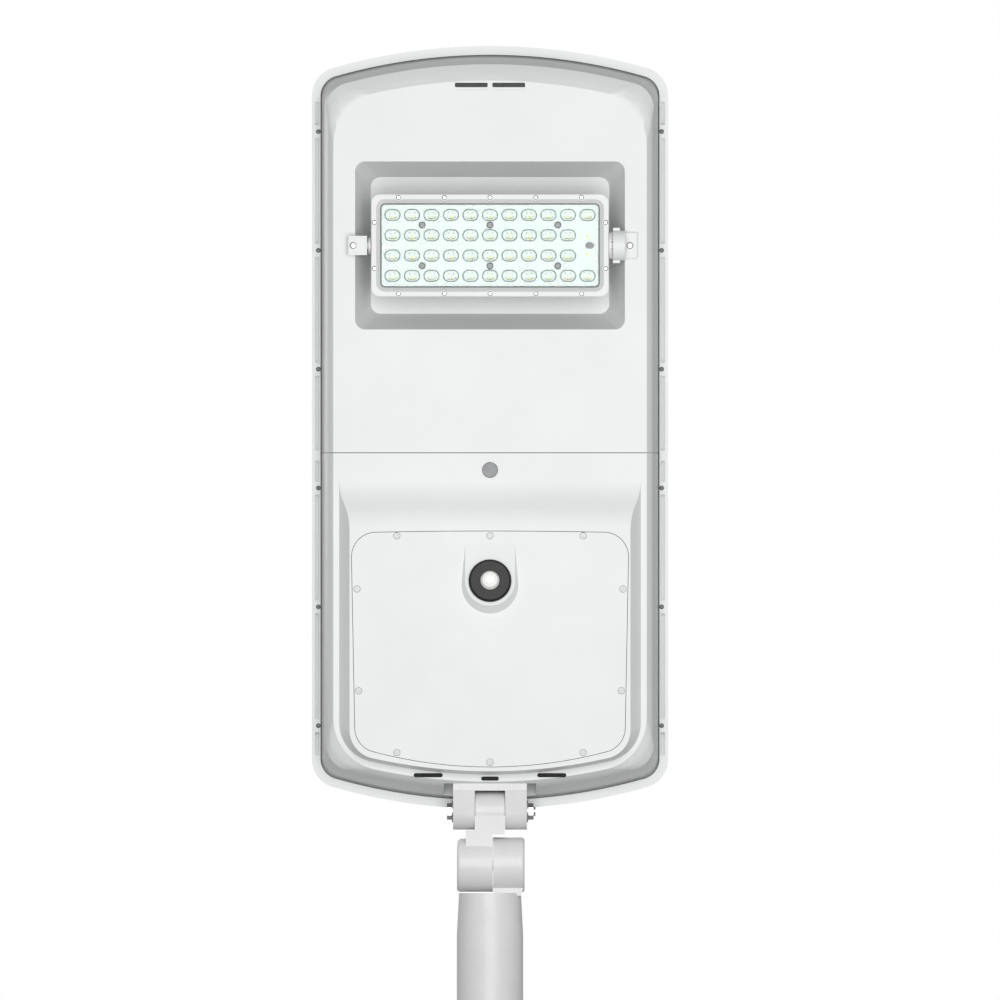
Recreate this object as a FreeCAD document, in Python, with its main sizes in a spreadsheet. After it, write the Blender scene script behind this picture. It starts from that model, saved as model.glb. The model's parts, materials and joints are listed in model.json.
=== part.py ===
"""Solar street lamp with a hinged arm bracket, a battery bay and a tilting LED module.

Row frame: +Z is up, so the solar panel is on top and the LEDs face down. The origin is the
middle of the pole socket's mouth. The lamp reaches out from the pole along -Y. Millimetres.
"""
import FreeCAD, Part
import math
import os
import re
import Sketcher
from FreeCAD import Placement, Rotation, Vector

doc = FreeCAD.newDocument("SolarStreetLamp")
sheet = doc.addObject("Spreadsheet::Sheet", "Sizes")

# ---------------------------------------------------------------- driving dimensions
SIZES = [
    # whole lamp
    ("lamp_length", 839.3, "rim, free end to pole end"),
    ("lamp_width", 392, "rim, side to side"),
    ("end_arc", 632, "radius of the bowed ends"),
    ("corner", 32, "radius of the rim's corners"),
    ("panel_top", 56, "height of the rim's top over the hinge axes"),
    ("rim_height", 28, "rim, top to underside"),
    ("tray_depth", 50, "underside of the rim to the lamp's flat face"),
    ("wall", 3, "moulded walls"),
    ("gap", 0.4, "between pieces that move past each other"),
    ("seat_gap", 0.3, "round a piece that lies in a recess"),
    ("running_fit", 0.05, "radial, round pins that turn"),
    # panel
    ("rim_width", 9.6, "underside of the rim, seen from below"),
    ("rim_skirt", 4, "thin upright wall of the panel frame"),
    ("glass_lip", 0.5, "rim above the glass"),
    ("glass_thickness", 3.2, ""),
    ("cell_thickness", 0.6, "cells in their film"),
    ("backsheet_thickness", 0.8, ""),
    ("ledge_width", 24, "what the panel lies on, from the rim's edge"),
    ("ledge_thickness", 4.5, ""),
    ("seal_thickness", 1.4, ""),
    ("flange_thickness", 5, "shell flange held under the panel frame"),
    ("flange_inset", 4.6, "flange edge from the rim's edge"),
    ("cell_length", 182, "cell across the lamp"),
    ("cell_width", 91, "cell along the lamp"),
    ("cell_spacing", 2.4, "between cells"),
    ("cell_rows", 8, "cells along the lamp"),
    # rim slots and screws
    ("rim_slot_width", 4.4, ""),
    ("rim_slot_depth", 6, ""),
    ("rim_slot_inset", 6, "middle of the slots from the rim's edge"),
    ("rim_screw_inset", 7.2, ""),
    ("rim_screw_pitch", 130.7, ""),
    ("rim_screw_first", 91.7, "first screw from the pole end"),
    ("rim_slot_end", 7.4, "slot end from the screw beside it"),
    ("rim_slot_seam", 9.4, "slots beside the seam, from it"),
    ("rim_slot_last", 32.5, "far end of the last slot from the last screw"),
    # tray section: depth under the rim, then insets at the sides, free end and pole end
    ("top_inset", 9.7, ""),
    ("cheek_depth", 36, ""),
    ("cheek_side", 15.5, ""),
    ("cheek_far", 20, ""),
    ("cheek_near", 22, ""),
    ("cheek_corner", 30, ""),
    ("brow_depth", 44, ""),
    ("brow_side", 19, ""),
    ("brow_far", 29, ""),
    ("brow_near", 26, ""),
    ("brow_corner", 42, ""),
    ("face_side", 23.6, ""),
    ("face_far", 38, ""),
    ("face_near", 30, ""),
    ("face_corner", 58, ""),
    ("seam_station", 392.2, "seam between the shells, from the pole end"),
    ("joiner_width", 5, "joiner strip on each side of the seam"),
    # battery bulge
    ("bulge_drop", 18, "bulge below the flat face"),
    ("bulge_side", 29, "foot of the bulge from the rim's side"),
    ("bulge_near", 37.5, "foot of the bulge from the rim's pole end"),
    ("bulge_draft", 12.5, "lean of the bulge's sides"),
    ("bulge_near_draft", 4, "lean of the bulge's end wall"),
    ("bulge_corner", 44, ""),
    ("ramp_start", 364, "foot of the ramp from the pole end"),
    ("ramp_run", 58, "length of the ramp"),
    # battery cover
    ("cover_far", 305.8, "cover's far edge from the pole end"),
    ("cover_near", 46.2, "cover's near edge from the pole end"),
    ("cover_half_far", 152.4, ""),
    ("cover_half_near", 148.8, ""),
    ("cover_far_arc", 6000, ""),
    ("cover_near_arc", 500, ""),
    ("cover_corner", 27, ""),
    ("cover_thickness", 3.2, ""),
    ("cover_seal", 1, ""),
    ("cover_ledge", 14, "ledge under the cover's edge"),
    ("cover_screw_inset", 5.2, ""),
    ("cover_screw_side", 102.5, "outer screws from the middle line"),
    ("cover_screw_mid", 186, "middle of the side screws from the pole end"),
    ("cover_screw_half", 56, "half the distance between the side screws"),
    # motion sensor
    ("sensor_station", 250.8, "from the pole end"),
    ("sensor_tilt", 9, "degrees"),
    ("sensor_rise", 6.5, "sensor face under the cover, on its axis"),
    ("boss_radius", 27.4, "sensor boss"),
    ("boss_length", 68, "boss, from its flush end"),
    ("boss_draft", 30, "degrees"),
    ("ring_radius", 23.5, "sensor ring"),
    ("ring_height", 6, ""),
    ("dome_radius", 10.5, ""),
    ("dome_height", 7, ""),
    ("sensor_neck", 14, "radius of the sensor's body"),
    ("sensor_length", 22, "sensor's body behind its ring"),
    ("sensor_nut", 5, "thickness of its nut"),
    # power button
    ("button_station", 372.9, "from the pole end"),
    ("button_radius", 8.2, ""),
    ("button_proud", 1.8, ""),
    ("button_travel", 1.5, ""),
    ("button_collar", 13, "radius of the switch housing"),
    ("switch_depth", 20, ""),
    ("button_body", 4, "button behind the wall, up to its rim"),
    ("button_rim", 2, "thickness of its rim"),
    ("button_rim_width", 1.5, ""),
    ("spring_inset", 2, "spring inside the button's edge"),
    ("spring_wire", 1, ""),
    # LED recess
    ("led_station", 619.9, "LED axis from the pole end"),
    ("recess_half_width", 148.4, ""),
    ("recess_half_length", 92.4, ""),
    ("recess_corner", 11, ""),
    ("recess_depth", 54, ""),
    ("recess_slope", 17.3, "how far its walls lean in"),
    # LED module
    ("axis_drop", 4, "tilt axis under the flat face"),
    ("module_half_width", 130.4, ""),
    ("module_half_length", 56, ""),
    ("module_corner", 9, ""),
    ("module_front", 14, "module's front under the tilt axis"),
    ("module_frame_depth", 11, ""),
    ("module_bevel", 5, "slope from the frame's rim to its window"),
    ("module_boss", 6.6, "screw bosses at the foot of that slope"),
    ("module_boss_draft", 24, "degrees"),
    ("window_half_width", 120.3, ""),
    ("window_half_length", 45.9, ""),
    ("window_corner", 5, ""),
    ("lens_drop", 6.4, "lens plate behind the frame's front"),
    ("lens_plate", 2.2, "lens plate's thickness"),
    ("lens_height", 2.6, "lens domes"),
    ("lens_radius", 6.3, ""),
    ("lens_stretch", 2.1, "half the distance between a lens's end arcs"),
    ("lens_pitch", 21.45, ""),
    ("row_pitch", 22.3, ""),
    ("lenses_outer", 11, "lenses in the outer rows"),
    ("lenses_inner", 10, "lenses in the inner rows"),
    ("chip", 3.2, "LED package, side"),
    ("chip_height", 0.7, ""),
    ("board_thickness", 1.6, ""),
    ("board_margin", 3, "board and lens plate beyond the window"),
    ("sink_half_width", 124, ""),
    ("sink_half_length", 49, ""),
    ("sink_base", 5, ""),
    ("fin_height", 17, ""),
    ("fin_thickness", 2, ""),
    ("fin_pitch", 8, ""),
    ("fin_count", 12, ""),
    ("frame_screw_inset", 3.1, ""),
    ("frame_screw_pitch", 50.4, ""),
    ("frame_screw_side", 25.3, "side screws from the tilt axis"),
    ("chip_offset", 2.5, "LEDs from their lenses' middles, towards the pole"),
    ("board_head", 3.8, "radius of the board screws' heads"),
    ("board_screw_pitch", 74.6, ""),
    ("board_screw_row", 22.5, "board screws from the tilt axis"),
    ("pin_radius", 2.6, "locating pins"),
    ("pin_side", 116.4, "locating pins from the middle"),
    ("pin_offset", 14.4, "right pin from the tilt axis"),
    ("spare_side", 106.8, "window with two small LEDs, from the middle"),
    ("spare_half_width", 5.6, ""),
    ("spare_half_length", 13.4, ""),
    ("spare_light", 9.8, "small LEDs from the tilt axis"),
    ("lead_side", 109.7, "lead's grommet from the middle"),
    ("lead_half_width", 5.3, ""),
    ("lead_half_length", 3.9, ""),
    # tilt pivots
    ("trunnion_radius", 5, ""),
    ("trunnion_plate", 3, ""),
    ("disc_radius", 15, "toothed disc"),
    ("disc_thickness", 4.1, ""),
    ("disc_teeth", 24, ""),
    ("tooth_depth", 1, ""),
    ("clamp_start", 135.3, "clamps from the middle line"),
    ("clamp_seat", 145.4, "where the clamps reach over the recess's edge"),
    ("clamp_hub_end", 142.9, "hubs' ends over the recess"),
    ("clamp_lip", 2.8, "lips along the left clamp, and the right hub's ears"),
    ("saddle_depth", 1, "between the left clamp's lips"),
    ("left_clamp_hub", 8, "radius of the left hub"),
    ("left_clamp_end", 156, ""),
    ("left_clamp_half", 10.6, ""),
    ("right_clamp_end", 161.7, ""),
    ("right_clamp_half", 13.8, ""),
    ("right_clamp_radius", 16.6, ""),
    ("clamp_plate", 6, "right clamp's foot"),
    ("clamp_screw_left", 150.6, ""),
    ("clamp_screw_right", 154, ""),
    # small screws
    ("tap_radius", 1.6, "self-tapping screw shank"),
    ("tap_head", 3.8, "self-tapping screw head"),
    ("tap_head_height", 2.2, ""),
    ("tap_length", 12, ""),
    ("small_radius", 1.2, "small screw shank"),
    ("small_head", 2.5, ""),
    ("small_head_height", 1.4, ""),
    ("screw_play", 0.15, "radial, round screw shanks"),
    # vents and plugs at the ends
    ("vent_half", 18, "half length of a free-end vent"),
    ("vent_offset", 20.6, "middle of a vent from the middle line"),
    ("vent_width", 8, ""),
    ("vent_corner", 1.2, ""),
    ("vent_lip", 3, "shallow lip on the pole side"),
    ("vent_inset", 44, "middle of the vents from the free end"),
    ("louvre_depth", 2, "in the slot, and of the lip behind it"),
    ("gland_radius", 6, "LED lead gland in the recess's floor"),
    ("plug_inset", 33.5, "middle of the pole-end plugs from the pole end"),
    ("plug_side", 68, "outer plugs from the middle line"),
    ("plug_half", 16, "half length of the outer plugs"),
    ("plug_middle_half", 9.7, ""),
    ("plug_width", 4.6, ""),
    ("plug_proud", 1, ""),
    # pole bracket
    ("pocket_half", 50.6, "bracket pocket, half width"),
    ("pocket_depth", 28.2, "pocket's end wall from the pole end"),
    ("pocket_top", 26.6, "height of the pocket's roof"),
    ("bracket_half", 40.6, "bracket, half width"),
    ("bracket_flange", 8, ""),
    ("bracket_height", 24, "ears over and under the hinge axis"),
    ("ear_length", 20, "ears beyond the bolt"),
    ("ear_round", 3, "round of the ears at the flange"),
    ("tongue_half", 16.2, "tongue between the ears, half width"),
    ("tongue_radius", 21.6, ""),
    ("bolt_radius", 5, "M10"),
    ("bolt_flats", 16, "across the flats"),
    ("bolt_head", 5.4, ""),
    ("bolt_nut", 6, ""),
    ("washer_radius", 12, ""),
    ("washer_thickness", 1.4, ""),
    ("mount_bolt_radius", 4, "M8 through the housing's wall"),
    ("mount_bolt_side", 28.6, ""),
    ("mount_bolt_rise", 12, "over and under the hinge axis"),
    ("backing_thickness", 3, ""),
    # link and arm
    ("link_length", 58.9, "knuckle bolt to bracket bolt"),
    ("rim_overhang", 2.7, "rim's end from the bracket bolt, towards the pole"),
    ("arm_reach", 190, "socket mouth to knuckle bolt"),
    ("knuckle_radius", 29.4, ""),
    ("knuckle_left", 36.3, "link's knuckle, left of the middle"),
    ("knuckle_split", 3.2, "parting face, right of the middle"),
    ("knuckle_right", 38, "arm's knuckle, right of the middle"),
    ("arm_knuckle_radius", 30.4, ""),
    ("neck_half", 21, "link's neck, half height"),
    ("knuckle_bolt_radius", 6, "M12"),
    ("knuckle_bore", 13, "counterbores for the bolt's head and nut"),
    ("knuckle_bore_depth", 14, ""),
    ("knuckle_head", 9, "radius of the bolt's head"),
    ("knuckle_teeth", 36, ""),
    ("pole_bore", 61, "socket for a 60 mm pole end"),
    ("socket_depth", 122, ""),
    ("sleeve_wall", 6, ""),
    ("sleeve_taper", 2.4, "how much slimmer the sleeve is at its shoulder"),
    ("sleeve_shoulder", 159.2, "shoulder from the mouth"),
    ("sleeve_straight", 112, "straight part of the sleeve"),
    ("set_screw_radius", 5, "M10"),
    ("set_screw_length", 18, ""),
    ("set_screw_boss", 11, ""),
    ("set_screw_first", 30, "from the mouth"),
    ("set_screw_second", 92, "from the mouth"),
    ("boss_height", 4, ""),
    # battery and electronics
    ("battery_radius", 16.3, "32650 cell"),
    ("battery_length", 70, ""),
    ("battery_gap", 1, "between cells"),
    ("battery_across", 8, "cells side by side"),
    ("pack_inset", 20.8, "battery pack from the opening under the cover"),
    ("cell_link", 0.3, "nickel strip"),
    ("strip_half", 8, "strips beyond the cells' middles"),
    ("strip_rise", 6, ""),
    ("pack_board_half", 60, "protection board, half width"),
    ("pack_board_side", 22, "protection board, half length"),
    ("pad_side", 50, "foam pads from the middle"),
    ("pad_half", 4, ""),
    ("pad_thickness", 1, ""),
    ("holder_thickness", 6, ""),
    ("controller_station", 432, "charge controller from the pole end"),
    ("controller_half", 60, "controller box, half width"),
    ("controller_side", 18, "controller box, half length"),
    ("controller_height", 26, ""),
    ("box_wall", 2, "controller and junction boxes"),
    ("foot_height", 4, "under the box and under its board"),
    ("foot_radius", 4, ""),
    ("foot_inset", 6, "feet from the box's ends"),
    ("junction_half", 35, "panel junction box, half width"),
    ("junction_side", 22, ""),
    ("junction_height", 20, ""),
    ("junction_offset", 40, "junction box from the seam"),
]

NAMES = set()
for row, (name, size, meaning) in enumerate(SIZES, 1):
    sheet.set(f"A{row}", meaning)
    sheet.set(f"B{row}", str(size))
    sheet.setAlias(f"B{row}", name)
    NAMES.add(name)
doc.recompute()


# ---------------------------------------------------------------- levels along Z and stations along Y
RIM = "(panel_top - rim_height)"
FACE = "(panel_top - rim_height - tray_depth)"
BULGE = f"({FACE} - bulge_drop)"
GLASS = "(panel_top - glass_lip)"
CELLS = f"({GLASS} - glass_thickness)"
BACKSHEET = f"({CELLS} - cell_thickness)"
LEDGE = f"({BACKSHEET} - backsheet_thickness)"
LEDGE_UNDER = f"({LEDGE} - ledge_thickness)"
FLANGE_TOP = f"({LEDGE_UNDER} - seal_thickness)"
FLANGE = f"({FLANGE_TOP} - flange_thickness)"
KNUCKLE = "(-arm_reach)"
HINGE = "(-arm_reach - link_length)"
NEAR = f"({HINGE} - rim_overhang)"
FAR = f"({NEAR} - lamp_length)"
SEAM = f"({NEAR} - seam_station)"
LED = f"({NEAR} - led_station)"
SENSOR = f"({NEAR} - sensor_station)"
BUTTON = f"({NEAR} - button_station)"
AXIS = f"({FACE} - axis_drop)"


# ---------------------------------------------------------------- formulas and sketches
def bound(formula):
    """A formula of size names, as an expression that reads the sheet."""
    return re.sub(r"[a-z_]\w*", lambda word: "Sizes." + word[0] if word[0] in NAMES else word[0], formula)


def number(formula):
    """What a formula comes to now."""
    return float(sheet.evalExpression(formula))


class Drawing:
    """Geometry and constraints of one sketch, added in one go, with each dimension bound."""

    def __init__(self, sketch):
        self.sketch = sketch
        self.rules = []
        self.formulas = []

    def tie(self, formula, kind, *where):
        self.formulas.append((len(self.rules), formula))
        self.rules.append(Sketcher.Constraint(kind, *where, number(formula)))

    def rule(self, kind, *where):
        self.rules.append(Sketcher.Constraint(kind, *where))

    def pin(self, geometry, point, x, y):
        self.tie(x, "DistanceX", -1, 1, geometry, point)
        self.tie(y, "DistanceY", -1, 1, geometry, point)

    def chain(self, shapes, kind):
        """Closed loop of lines and arcs, each joined to the next."""
        first = self.sketch.addGeometry(shapes, False)[0]
        for index in range(len(shapes)):
            self.rule(kind, first + index, 2, first + (index + 1) % len(shapes), 1)
        return first

    def done(self):
        start = self.sketch.addConstraint(self.rules)[0]
        for index, formula in self.formulas:
            self.sketch.setExpression(f"Constraints[{start + index}]", bound(formula))


def arc(x, y, radius, start, end):
    circle = Part.Circle(Vector(x, y, 0), Vector(0, 0, 1), radius)
    return Part.ArcOfCircle(circle, start, end)


def on_circle(x, y, radius, angle):
    return Vector(x + radius * math.cos(angle), y + radius * math.sin(angle), 0)


def discs(points, radius):
    """A circle round each point."""
    def draw(drawing):
        for x, y in points:
            circle = Part.Circle(Vector(number(x), number(y), 0), Vector(0, 0, 1), number(radius))
            index = drawing.sketch.addGeometry(circle, False)
            drawing.tie(radius, "Radius", index)
            drawing.pin(index, 3, x, y)
    return draw


def polygons(*outlines):
    """Straight-sided outlines, each a list of corners."""
    def draw(drawing):
        for corners in outlines:
            places = [Vector(number(x), number(y), 0) for x, y in corners]
            lines = [Part.LineSegment(places[i - 1], places[i]) for i in range(len(places))]
            first = drawing.chain(lines, "Coincident")
            for index, (x, y) in enumerate(corners):
                drawing.pin(first + index, 2, x, y)
    return draw


def slab(left, right, low, high):
    """Corners of a rectangle."""
    return [(left, low), (right, low), (right, high), (left, high)]


def block(x, y, half_x, half_y, inset):
    """A rectangle about a middle, moved in by a formula."""
    return polygons(slab(f"{x} - ({half_x} - {inset})", f"{x} + ({half_x} - {inset})",
                         f"{y} - ({half_y} - {inset})", f"{y} + ({half_y} - {inset})"))


def hexagon(x, y, flats):
    reach = f"{flats} / 2 / cos(30)"
    return [(f"{x} + {reach} * cos({60 * k})", f"{y} + {reach} * sin({60 * k})") for k in range(6)]


def bands(*loops):
    """Outlines of arcs round the given circles (x, y, radius), joined by tangent lines."""
    def draw(drawing):
        for circles in loops:
            places = [(number(x), number(y), number(r)) for x, y, r in circles]
            turns = []
            for index, (x, y, r) in enumerate(places):
                x2, y2, r2 = places[(index + 1) % len(places)]
                along = math.atan2(y2 - y, x2 - x)
                turns.append(along - math.acos((r - r2) / math.hypot(x2 - x, y2 - y)))
            shapes = []
            for index, (x, y, r) in enumerate(places):
                x2, y2, r2 = places[(index + 1) % len(places)]
                start, end = turns[index - 1], turns[index]
                while end < start:
                    end += 2 * math.pi
                shapes.append(arc(x, y, r, start, end))
                shapes.append(Part.LineSegment(on_circle(x, y, r, end), on_circle(x2, y2, r2, end)))
            first = drawing.chain(shapes, "Tangent")
            for index, (x, y, radius) in enumerate(circles):
                drawing.tie(radius, "Radius", first + 2 * index)
                drawing.pin(first + 2 * index, 3, x, y)
    return draw


def soft_slab(x, y, half_x, half_y, radius):
    """Circles of a rectangle with round corners."""
    return [(f"{x} + {a} * ({half_x} - {radius})", f"{y} + {b} * ({half_y} - {radius})", radius)
            for a, b in ((-1, -1), (1, -1), (1, 1), (-1, 1))]


def racetrack(x, y, half_x, half_y):
    """Circles of a slot with round ends along X."""
    return [(f"{x} - {half_x} + {half_y}", y, half_y), (f"{x} + {half_x} - {half_y}", y, half_y)]


def barrel(half_far, half_near, far, near, arc_far, arc_near, corner_far, corner_near):
    """Outline with bowed ends at far and near, straight sides and round corners, about x = 0."""
    def draw(drawing):
        big_far, big_near = number(arc_far), number(arc_near)
        small_far, small_near = number(corner_far), number(corner_near)
        x_far, x_near = number(half_far) - small_far, number(half_near) - small_near
        middle_far, middle_near = number(far) + big_far, number(near) - big_near
        y_far = middle_far - math.sqrt((big_far - small_far) ** 2 - x_far ** 2)
        y_near = middle_near + math.sqrt((big_near - small_near) ** 2 - x_near ** 2)
        a_far = math.atan2(y_far - middle_far, x_far)
        a_near = math.atan2(y_near - middle_near, x_near)
        span = math.hypot(x_near - x_far, y_near - y_far)
        side = math.atan2(y_near - y_far, x_near - x_far) - math.acos((small_far - small_near) / span)
        line_right = Part.LineSegment(on_circle(x_far, y_far, small_far, side),
                                      on_circle(x_near, y_near, small_near, side))
        line_left = Part.LineSegment(on_circle(-x_near, y_near, small_near, math.pi - side),
                                     on_circle(-x_far, y_far, small_far, math.pi - side))
        first = drawing.chain([
            arc(0, middle_far, big_far, -math.pi - a_far, a_far),
            arc(x_far, y_far, small_far, a_far, side),
            line_right,
            arc(x_near, y_near, small_near, side, a_near),
            arc(0, middle_near, big_near, a_near, math.pi - a_near),
            arc(-x_near, y_near, small_near, math.pi - a_near, math.pi - side),
            line_left,
            arc(-x_far, y_far, small_far, math.pi - side, math.pi + a_far * -1)], "Tangent")
        drawing.pin(first, 3, "0", f"{far} + {arc_far}")
        drawing.pin(first + 4, 3, "0", f"{near} - ({arc_near})")
        drawing.tie(arc_far, "Radius", first)
        drawing.tie(arc_near, "Radius", first + 4)
        for index, half, radius in ((1, half_far, corner_far), (3, half_near, corner_near)):
            drawing.tie(radius, "Radius", first + index)
            drawing.tie(f"{half} - ({radius})", "DistanceX", -1, 1, first + index, 3)
        for index, half, radius in ((5, half_near, corner_near), (7, half_far, corner_far)):
            drawing.tie(radius, "Radius", first + index)
            drawing.tie(f"{radius} - ({half})", "DistanceX", -1, 1, first + index, 3)
    return draw


def rim_outline(inset):
    """The lamp's plan outline, moved in by a formula."""
    half = f"(lamp_width / 2 - ({inset}))"
    bow, round_corner = f"(end_arc - ({inset}))", f"(corner - ({inset}))"
    return barrel(half, half, f"({FAR} + {inset})", f"({NEAR} - ({inset}))",
                  bow, bow, round_corner, round_corner)


# ---------------------------------------------------------------- pieces
PIECES = []


class Piece:
    """One sub-part: a body with bound sketches and features, and a label that names its file."""

    def __init__(self, label, at=("0", "0", "0"), turn=None):
        self.body = doc.addObject("PartDesign::Body", label)
        self.body.Label = label
        self.solids = 1
        if turn:
            self.body.Placement = Placement(Vector(), Rotation(turn[0], turn[1]))
        for axis, formula in zip("xyz", at):
            self.body.setExpression(f"Placement.Base.{axis}", bound(formula))
        PIECES.append(self.body)

    def sketch(self, draw, level="0", plane="XY", origin=("0", "0")):
        """Sketch on a plane, at a height along the plane's normal, with its own origin moved."""
        role = f"{plane}_Plane"
        sketch = self.body.newObject("Sketcher::SketchObject", f"{self.body.Label}_sketch")
        support = next(plane for plane in self.body.Origin.OriginFeatures if plane.Role == role)
        sketch.AttachmentSupport = [(support, "")]
        sketch.MapMode = "FlatFace"
        sketch.setExpression("AttachmentOffset.Base.z", bound(level))
        sketch.setExpression("AttachmentOffset.Base.x", bound(origin[0]))
        sketch.setExpression("AttachmentOffset.Base.y", bound(origin[1]))
        drawing = Drawing(sketch)
        draw(drawing)
        drawing.done()
        return sketch

    def add(self, draw, start, end, plane="XY", taper="0"):
        """Pad between two levels, growing from start to end, with the sides leaning outwards."""
        return self.extrude("Pad", draw, start, end, plane, taper)

    def cut(self, draw, start, end, plane="XY", taper="0"):
        """Pocket between two levels, from start to end."""
        before = self.volume()
        pocket = self.extrude("Pocket", draw, start, end, plane, taper)
        if self.volume() > before - 0.01:
            raise RuntimeError(f"a pocket of {self.body.Label} cuts nothing")
        return pocket

    def extrude(self, kind, draw, start, end, plane, taper):
        sketch = self.sketch(draw, start, plane)
        feature = self.body.newObject(f"PartDesign::{kind}", f"{self.body.Label}_{kind.lower()}")
        feature.Profile = sketch
        upwards = number(end) > number(start)
        feature.Reversed = upwards == (kind == "Pocket")
        feature.setExpression("Length", bound(f"abs({end} - ({start}))"))
        if taper != "0":
            feature.setExpression("TaperAngle", bound(taper))
        return feature

    def loft(self, levels, cut=False, plane="XY"):
        """Straight-sided skin through outlines at several heights."""
        sketches = [self.sketch(draw, level, plane) for draw, level in levels]
        kind = "PartDesign::SubtractiveLoft" if cut else "PartDesign::AdditiveLoft"
        loft = self.body.newObject(kind, f"{self.body.Label}_loft")
        loft.Profile = sketches[0]
        loft.Sections = sketches[1:]
        loft.Ruled = True
        return loft

    def turn(self, corners):
        """Solid of revolution about the body's own Z axis, from (radius, height) corners."""
        sketch = self.sketch(polygons(corners), "0", "XZ")
        spin = self.body.newObject("PartDesign::Revolution", f"{self.body.Label}_turned")
        spin.Profile = sketch
        spin.ReferenceAxis = (sketch, ["V_Axis"])
        spin.Angle = 360
        return spin

    def repeat(self, feature, plane_axis, spacing, count):
        """Linear pattern of a feature along an axis of the row frame."""
        pattern = self.body.newObject("PartDesign::LinearPattern", f"{self.body.Label}_row")
        pattern.Originals = [feature]
        axis = next(line for line in self.body.Origin.OriginFeatures if line.Role == f"{plane_axis}_Axis")
        pattern.Direction = (axis, [""])
        pattern.setExpression("Length", bound(f"{spacing} * ({count} - 1)"))
        pattern.setExpression("Occurrences", bound(count))
        self.body.Tip = pattern
        return pattern

    def notch_face(self, y, z, inner, outer, start, end, count):
        """Ring of radial notches in a flat face square to X, centred on (y, z)."""
        half = f"(90 / {count})"
        corners = [(f"{radius} * cos({sign}{half})", f"{radius} * sin({sign}{half})")
                   for radius, sign in ((inner, "-"), (outer, "-"), (outer, ""), (inner, ""))]
        sketch = self.sketch(polygons(corners), start, "YZ", (y, z))
        notch = self.body.newObject("PartDesign::Pocket", f"{self.body.Label}_notch")
        notch.Profile = sketch
        notch.Reversed = True
        notch.setExpression("Length", bound(f"{end} - ({start})"))
        doc.recompute()
        ring = self.body.newObject("PartDesign::PolarPattern", f"{self.body.Label}_notches")
        ring.Originals = [notch]
        ring.Axis = (sketch, ["N_Axis"])
        ring.Angle = 360
        ring.setExpression("Occurrences", bound(count))
        self.body.Tip = ring

    def volume(self):
        doc.recompute()
        return self.body.Shape.Volume


# ---------------------------------------------------------------- solar panel and rim
def rim_screw_points():
    """Six screws along each side."""
    return [(f"{side} * (lamp_width / 2 - rim_screw_inset)", f"{NEAR} - rim_screw_first - {k} * rim_screw_pitch")
            for side in (-1, 1) for k in range(6)]


def rim_slots():
    """Drain slots in the rim's underside: between the screws, beyond them and around the seam."""
    spans = []
    for k in range(5):
        start, end = f"rim_screw_first + {k} * rim_screw_pitch", f"rim_screw_first + {k + 1} * rim_screw_pitch"
        if k == 2:
            spans.append((f"{start} + rim_slot_end", "seam_station - rim_slot_seam"))
            spans.append(("seam_station + rim_slot_seam / 4", f"{end} - rim_slot_end"))
        else:
            spans.append((f"{start} + rim_slot_end", f"{end} - rim_slot_end"))
    last = "rim_screw_first + 5 * rim_screw_pitch"
    spans.append((f"{last} + rim_slot_end", f"{last} + rim_slot_last"))
    spans.append(("rim_screw_first - rim_slot_last", "rim_screw_first - rim_slot_end"))
    outlines = []
    for side in (-1, 1):
        middle = f"{side} * (lamp_width / 2 - rim_slot_inset)"
        for start, end in spans:
            outlines.append(slab(f"{middle} - rim_slot_width / 2", f"{middle} + rim_slot_width / 2",
                                 f"{NEAR} - ({end})", f"{NEAR} - ({start})"))
    return outlines


def rim_bezel():
    piece = Piece("rim_bezel")
    piece.add(rim_outline("0"), RIM, FLANGE)
    piece.cut(rim_outline("rim_width"), RIM, FLANGE)
    piece.cut(polygons(*rim_slots()), RIM, f"{RIM} + rim_slot_depth")
    piece.cut(discs(rim_screw_points(), "small_head + screw_play"), RIM, f"{RIM} + small_head_height")
    piece.cut(discs(rim_screw_points(), "small_radius + screw_play"), RIM, FLANGE)


def panel_frame():
    piece = Piece("panel_frame")
    piece.add(rim_outline("0"), FLANGE, "panel_top")
    piece.cut(rim_outline("rim_skirt"), LEDGE, "panel_top")
    piece.cut(rim_outline("ledge_width"), LEDGE_UNDER, LEDGE)
    piece.cut(rim_outline("rim_skirt"), FLANGE, LEDGE_UNDER)
    piece.cut(discs(rim_screw_points(), "small_radius"), LEDGE_UNDER, f"{LEDGE} - 1")


def panel_seal():
    piece = Piece("panel_seal")
    piece.add(rim_outline("flange_inset"), FLANGE_TOP, LEDGE_UNDER)
    piece.cut(rim_outline("flange_inset + seal_thickness + top_inset"), FLANGE_TOP, LEDGE_UNDER)
    piece.cut(discs(rim_screw_points(), "small_radius + screw_play"), FLANGE_TOP, LEDGE_UNDER)


def solar_panel():
    glass = Piece("solar_glass")
    glass.add(rim_outline("rim_skirt + seat_gap"), CELLS, GLASS)
    backsheet = Piece("panel_backsheet")
    backsheet.add(rim_outline("rim_skirt + seat_gap"), LEDGE, BACKSHEET)
    cells = Piece("solar_cells")
    middle = f"(({NEAR} + {FAR}) / 2)"
    first = f"({middle} - (cell_rows - 1) / 2 * (cell_width + cell_spacing))"
    outlines = [slab(f"{left}", f"{left} + cell_length", f"{first} - cell_width / 2", f"{first} + cell_width / 2")
                for left in ("-cell_spacing / 2 - cell_length", "cell_spacing / 2")]
    row = cells.add(polygons(*outlines), BACKSHEET, CELLS)
    cells.repeat(row, "Y", "(cell_width + cell_spacing)", "cell_rows")


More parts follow.
